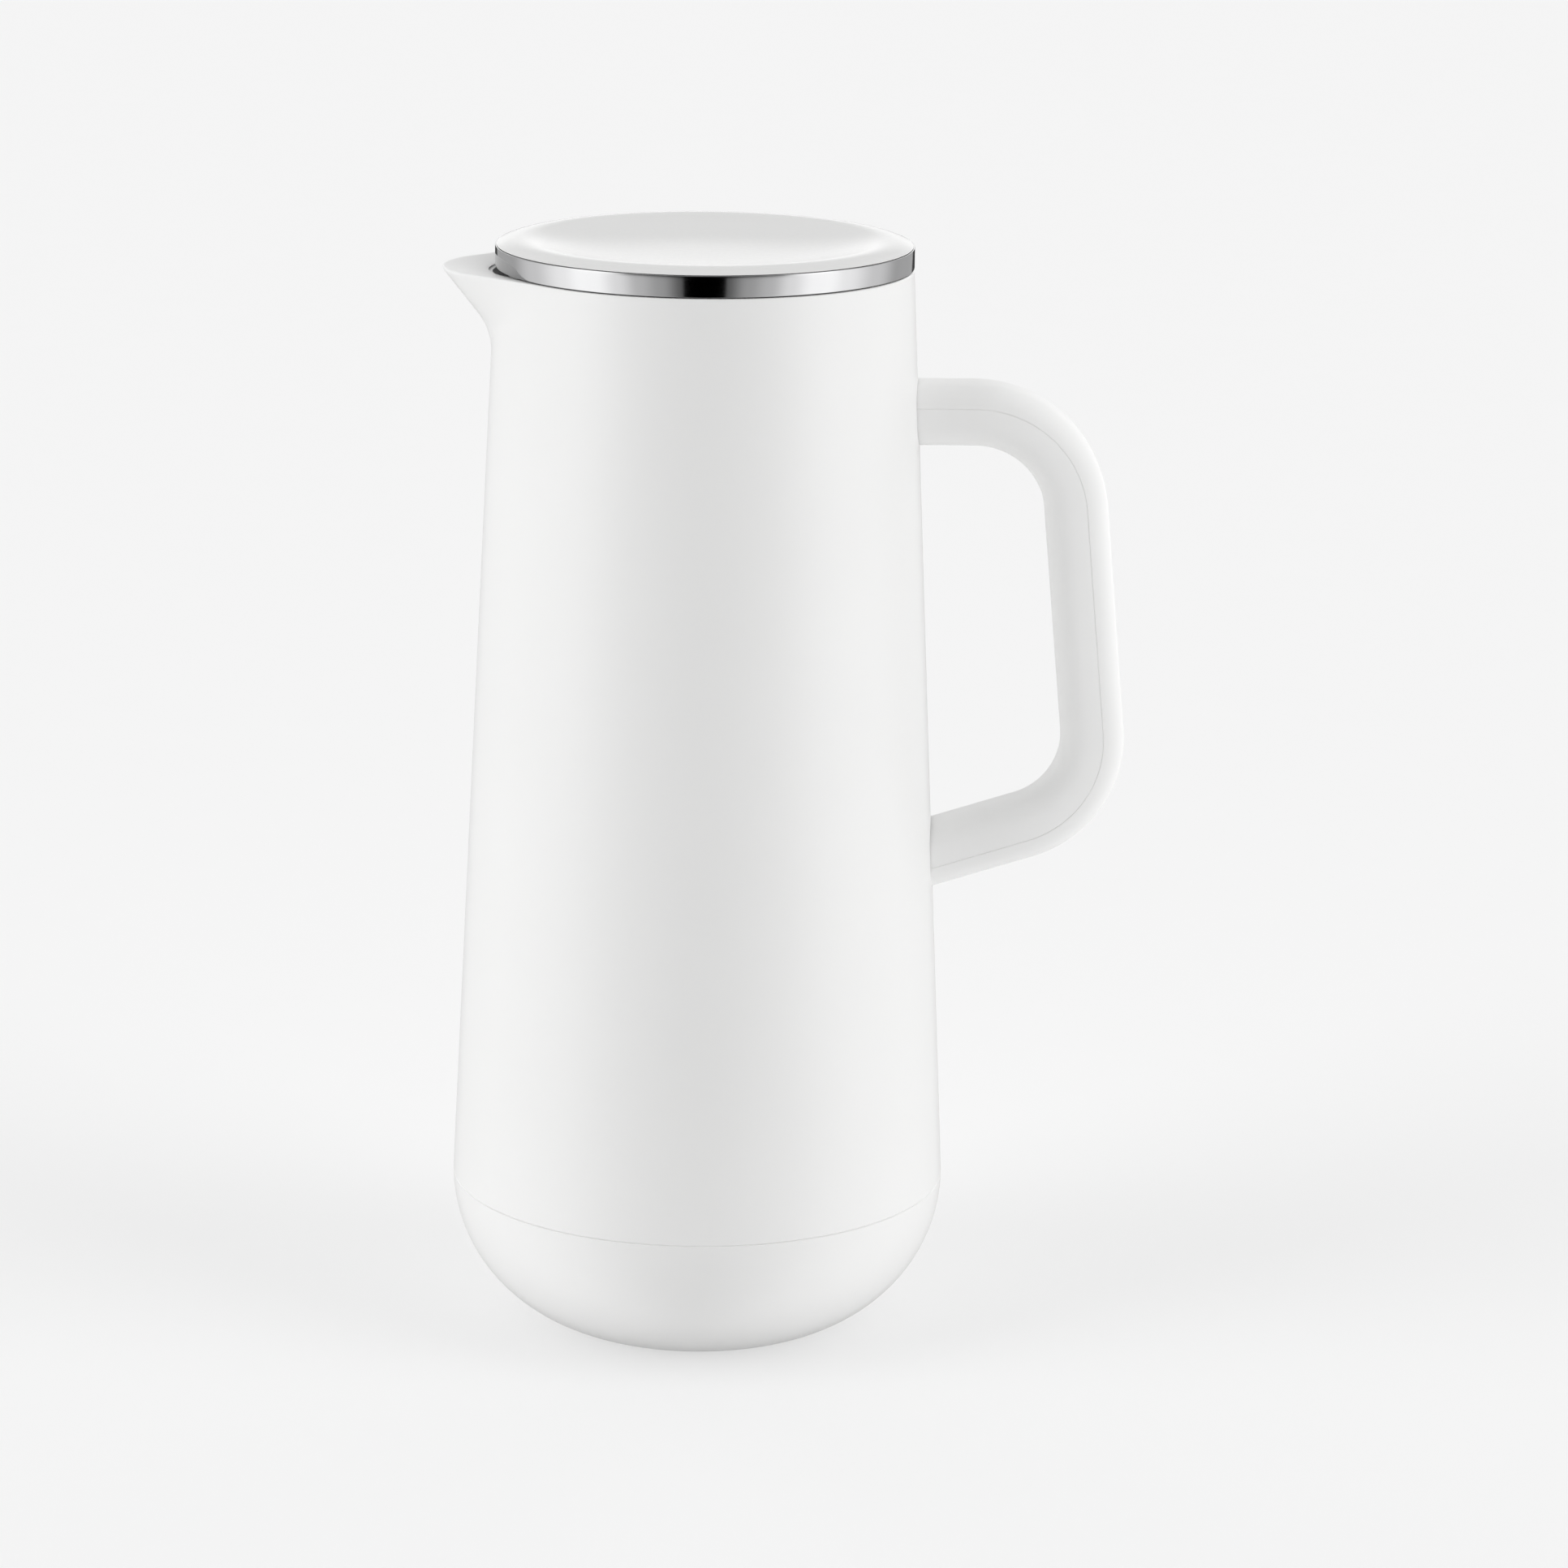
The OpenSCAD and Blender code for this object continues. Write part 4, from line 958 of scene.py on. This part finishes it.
def make_valve():
    """The valve's disc and its seal."""
    low, high, hole = disc_low.z, disc_high.z, SCREW_R + RUNNING
    corners = [(hole, low, 0), (VALVE_R, low, DISC_LOW_SOFT), (VALVE_R, high, DISC_TOP_SOFT),
               (hole, high, 0)]
    points, faces = turned(rounded(corners, steps=6))
    new_piece("disc", points, faces, "valve", INNER_PLASTIC, ["valve_disc"])
    make_seal("disc_seal", "valve_seal", "valve", STEM_R + SLIP, VALVE_R, high)


def make_screw():
    """The screw that holds the valve's disc, with a hexagonal socket."""
    low, high, head_z = screw_low.z, screw_high.z, screw_low.z + SCREW_HEAD_H
    corners = [(0, low, 0), (SCREW_HEAD_R, low, SCREW_HEAD_SOFT), (SCREW_HEAD_R, head_z, SCREW_HEAD_EDGE),
               (SCREW_R, head_z, 0), (SCREW_R, high, SCREW_TIP_SOFT), (0, high, 0)]
    points, faces = turned(rounded(corners, steps=5))
    screw = new_piece("screw", points, faces, "valve", FASTENER_STEEL, ["valve_screw"])
    sixths = [math.pi / 3 * k for k in range(6)]
    points = [(SOCKET_R * math.cos(t), SOCKET_R * math.sin(t), z)
              for z in (low - SOCKET_DEPTH, low + SOCKET_DEPTH) for t in sixths]
    cut(screw, new_piece("socket_cutter", points, loft_faces(2, 6), None, FASTENER_STEEL))


# Stage: floor, studio light and camera


def make_floor():
    """A wide white floor that gloss doesn't mirror."""
    half = FLOOR_HALF
    points = [(-half, -half, 0), (half, -half, 0), (half, half, 0), (-half, half, 0)]
    colour = (FLOOR_GREY, FLOOR_GREY, FLOOR_GREY)
    material = finish("floor_white", colour, 0.9, tint=0.002, bump=0.0, specular=0.0)
    shader = material.node_tree.nodes["Principled BSDF"]
    preset(shader, {"Emission Color": (1, 1, 1, 1), "Emission Strength": FLOOR_GLOW})
    floor = new_piece("floor", points, [(0, 1, 2, 3)], None, material)
    floor.visible_glossy = False


def ramp(nodes, links, place, stops):
    """The brightness at a place from 0 to 1, eased between stops (place, brightness)."""
    node = nodes.new("ShaderNodeValToRGB")
    node.color_ramp.interpolation = "EASE"
    elements = node.color_ramp.elements
    while len(elements) < len(stops):
        elements.new(0.5)
    for element, (stop, value) in zip(elements, stops):
        element.position = stop
        element.color = (value, value, value, 1)
    links.new(place, node.inputs["Fac"])
    return node.outputs["Color"]


def math_node(nodes, links, operation, *values):
    """The result of a sum on numbers or on other nodes' results."""
    node = nodes.new("ShaderNodeMath")
    node.operation = operation
    for socket, value in zip(node.inputs, values):
        if isinstance(value, (int, float)):
            socket.default_value = value
        else:
            links.new(value, socket)
    return node.outputs["Value"]


def studio_brightness(nodes, links):
    """Brightness all round: side banks, a ceiling, a pale wall behind, and what gloss mirrors below."""
    place = nodes.new("ShaderNodeTexCoord")
    axes = nodes.new("ShaderNodeSeparateXYZ")
    links.new(place.outputs["Generated"], axes.inputs["Vector"])
    x, y, z = (axes.outputs[k] for k in "XYZ")
    front = math_node(nodes, links, "MULTIPLY", y, -1)
    angle = math_node(nodes, links, "ABSOLUTE", math_node(nodes, links, "ARCTAN2", x, front))
    turn = math_node(nodes, links, "DIVIDE", angle, math.pi)
    rise = math_node(nodes, links, "DIVIDE", math_node(nodes, links, "ARCSINE", z), math.pi)
    height = math_node(nodes, links, "ADD", rise, 0.5)

    total = ramp(nodes, links, height, TOP_STOPS)
    for turn_stops, height_stops in ((SIDE_STOPS, SIDE_HEIGHT_STOPS), (BACK_STOPS, BACK_HEIGHT_STOPS),
                                     (LOW_STOPS, LOW_HEIGHT_STOPS)):
        across = ramp(nodes, links, turn, turn_stops)
        up = ramp(nodes, links, height, height_stops)
        panel = math_node(nodes, links, "MULTIPLY", across, up)
        total = math_node(nodes, links, "ADD", total, panel)
    return total


def make_light():
    """A soft studio that lights the part, behind a plain backdrop."""
    world = bpy.data.worlds.new("studio")
    bpy.context.scene.world = world
    world.use_nodes = True
    nodes, links = world.node_tree.nodes, world.node_tree.links
    studio = nodes["Background"]
    links.new(studio_brightness(nodes, links), studio.inputs["Color"])
    preset(studio, {"Strength": LIGHT_STRENGTH})
    backdrop = nodes.new("ShaderNodeBackground")
    preset(backdrop, {"Color": (BACKDROP_GREY, BACKDROP_GREY, BACKDROP_GREY, 1)})
    path = nodes.new("ShaderNodeLightPath")
    seen = nodes.new("ShaderNodeMixShader")
    links.new(path.outputs["Is Camera Ray"], seen.inputs["Fac"])
    links.new(studio.outputs["Background"], seen.inputs[1])
    links.new(backdrop.outputs["Background"], seen.inputs[2])
    links.new(seen.outputs["Shader"], nodes["World Output"].inputs["Surface"])


def make_camera():
    """The photograph's camera, in front of the part and a little above it."""
    data = bpy.data.cameras.new("camera")
    data.sensor_width = SENSOR_MM
    data.lens = SENSOR_MM * FOCAL_PX / FRAME_PX
    data.shift_x = (FRAME_PX / 2 - AIM_PX[0]) / FRAME_PX
    data.shift_y = (AIM_PX[1] - FRAME_PX / 2) / FRAME_PX
    camera = bpy.data.objects.new("camera", data)
    bpy.context.scene.collection.objects.link(camera)
    back = Vector((0, -math.cos(CAMERA_DOWN), math.sin(CAMERA_DOWN)))
    place = Vector((0, 0, AIM_Z)) + back * CAMERA_DISTANCE
    turn = Matrix.Rotation(math.pi / 2 - CAMERA_DOWN, 4, "X") @ Matrix.Rotation(CAMERA_ROLL, 4, "Z")
    camera.matrix_world = Matrix.Translation(place) @ turn
    bpy.context.scene.camera = camera


def dress_nodes():
    """Gives each CAD node the finish of its slot."""
    for part in frame["record"]["subparts"]:
        mesh = frame["nodes"][part["node"]].data
        mesh.materials.clear()
        mesh.materials.append(FINISHES[part["material_slot"]])


body = make_body()
cut_seats(body)
make_base()
make_foot()
make_handle()
make_cap()
make_band()
make_liner()
make_collar()
make_stopper()
make_guide()
make_valve()
make_screw()
make_seal("mouth_gasket", "neck_gasket", "jug", MOUTH_R + SLIP, NECK_OUT_R, LIP_Z)
make_seal("plug_gasket", "stopper_gasket", "stopper", MOUTH_R + SLIP, PLUG_R - SLIP, PLUG_Z - RING_T)
make_seal("plate_seal", "rim_seal", "stopper", LEDGE_IN_R + SLIP, PLATE_R - SLIP, PLATE_LOW_Z - RING_T)
dress_nodes()
make_floor()
make_light()
make_camera()
bpy.context.scene.view_settings.view_transform = "Standard"
